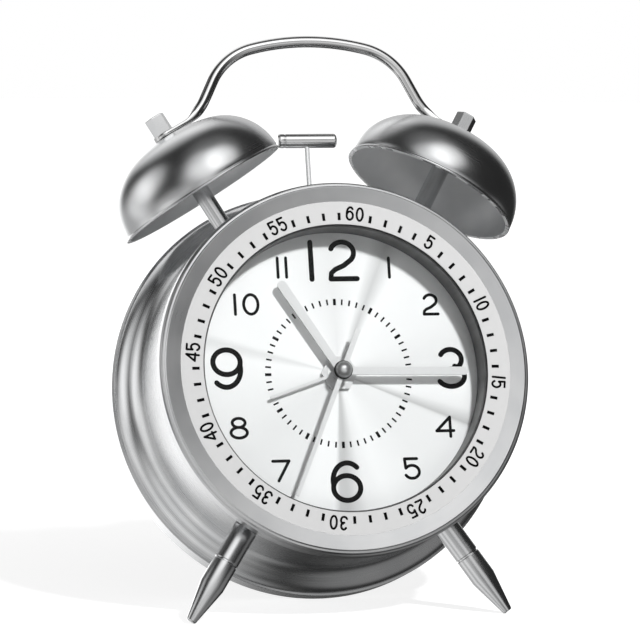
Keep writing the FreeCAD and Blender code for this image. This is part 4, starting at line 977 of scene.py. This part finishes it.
# ---------------------------------------------------------------- hammer
# A short bright rod across the top of a thin wire. It swings between the bells from
# a pivot inside the drum, driven by a small magnet coil.
HAMMER_HEIGHT, HAMMER_HALF, HAMMER_RADIUS, HAMMER_ROUND = 70.4, 8.5, 2.05, 0.8
BAR_GROOVE_FROM, BAR_GROOVE_TO, BAR_GROOVE_DEPTH = -6.6, -6.3, 0.12
STEM_FOOT, STEM_RADIUS = 44.5, 0.7
place = Matrix.Translation((0, HAMMER_PLANE, HAMMER_HEIGHT)) @ Matrix.Rotation(
    math.radians(90), 4, "Y")
piece("hammer_bar", lathe(eased(outline(
    (0, -HAMMER_HALF), (HAMMER_RADIUS - HAMMER_ROUND, -HAMMER_HALF, HAMMER_ROUND),
    (HAMMER_RADIUS, HAMMER_ROUND - HAMMER_HALF), (HAMMER_RADIUS, BAR_GROOVE_FROM),
    (HAMMER_RADIUS - BAR_GROOVE_DEPTH, BAR_GROOVE_FROM),
    (HAMMER_RADIUS - BAR_GROOVE_DEPTH, BAR_GROOVE_TO), (HAMMER_RADIUS, BAR_GROOVE_TO),
    (HAMMER_RADIUS, HAMMER_HALF - HAMMER_ROUND, HAMMER_ROUND),
    (HAMMER_RADIUS - HAMMER_ROUND, HAMMER_HALF), (0, HAMMER_HALF), step=10), 0.08), turns=64),
    place, bright_rod, "hammer", "hammer_head")
hammer_wire = finish(
    "hammer_wire", "hammer_wire", {"Metallic": 0.6},
    brushed(Vector((0, HAMMER_PLANE, 0)), Vector((0, 0, 1)), 0.85, 0.25, 0.001))
piece("hammer_wire_stem", lathe(outline(
    (0, STEM_FOOT), (STEM_RADIUS, STEM_FOOT), (STEM_RADIUS, HAMMER_HEIGHT), (0, HAMMER_HEIGHT)),
    turns=32), Matrix.Translation((0, HAMMER_PLANE, 0)), hammer_wire, "hammer", "hammer_stem")


# ---------------------------------------------------------------- back, knobs and works
# The back is black moulded plastic with a fine eroded grain and two ribbed knobs, and
# the white movement sits in front of it. These pieces keep their own shapes and take
# the finish that each is made in.
def moulded(level, grain_mm, roughness):
    """A wires function for plastic with a fine eroded grain."""
    def varying(place):
        sparks = noise(place, 2.5, 3.0)
        cloud = noise(place, 0.08, 2.0)
        return {"Base Color": tint(cloud, grey(level * 0.85), grey(level * 1.15)),
                "Roughness": roughness + (cloud - 0.5) * 0.1,
                "Normal": bump(sparks, grain_mm)}
    return varying


def plated(level, roughness, shade=(1.0, 1.0, 1.0)):
    """A wires function for a plated or wound metal piece."""
    def varying(place):
        spangle = noise(place, 0.5, 3.0)
        dark = tuple(level * 0.85 * c for c in shade) + (1,)
        light = tuple(level * c for c in shade) + (1,)
        return {"Base Color": tint(spangle, dark, light), "Roughness": roughness + spangle * 0.1}
    return varying


WORKS = (                 # slot, constants, wires, CAD pieces
    ("case_black", {}, moulded(0.035, 0.02, 0.5),
     ("back_cover", "battery_door", "switch_housing", "screw_bosses", "cannon_pinion",
      "hour_wheel", "alarm_wheel", "second_wheel")),
    ("nickel_nut", {"Metallic": 0.2}, plated(0.80, 0.35), ("movement_nut",)),
    ("knob_black", {}, moulded(0.028, 0.006, 0.36), ("set_knob", "alarm_knob", "switch_slider")),
    ("zinc_plate", {"Metallic": 1.0}, plated(0.62, 0.25, (0.98, 1.0, 1.03)),
     ("back_cover_screws", "stud_nuts", "striker_bracket", "striker_yoke", "striker_pin",
      "hammer_lever", "dial_retaining_clip", "battery_contact", "battery_spring",
      "stator")),
    ("copper_winding", {"Metallic": 1.0}, plated(0.85, 0.3, (0.85, 0.45, 0.25)),
     ("striker_coil", "drive_coil")),
    ("movement_white", {}, moulded(0.78, 0.01, 0.4),
     ("movement_front", "movement_rear", "setting_wheel", "alarm_pinion", "third_wheel",
      "rotor_pinion", "board_posts")),
    ("magnet_dark", {}, moulded(0.05, 0.01, 0.6), ("rotor_magnet",)),
    ("board_green", {}, moulded(0.1, 0.002, 0.3), ("circuit_board",)),
    ("crystal_can", {"Metallic": 1.0}, plated(0.75, 0.15), ("quartz_crystal",)),
    ("cell_wrap", {}, moulded(0.12, 0.002, 0.3), ("battery",)),
)
for slot_name, constants, wires, names in WORKS:
    coat = finish("works_" + slot_name, slot_name, constants, wires)
    for name in names:
        node = frame["nodes"][name]
        for slot in node.material_slots:
            slot.material = coat
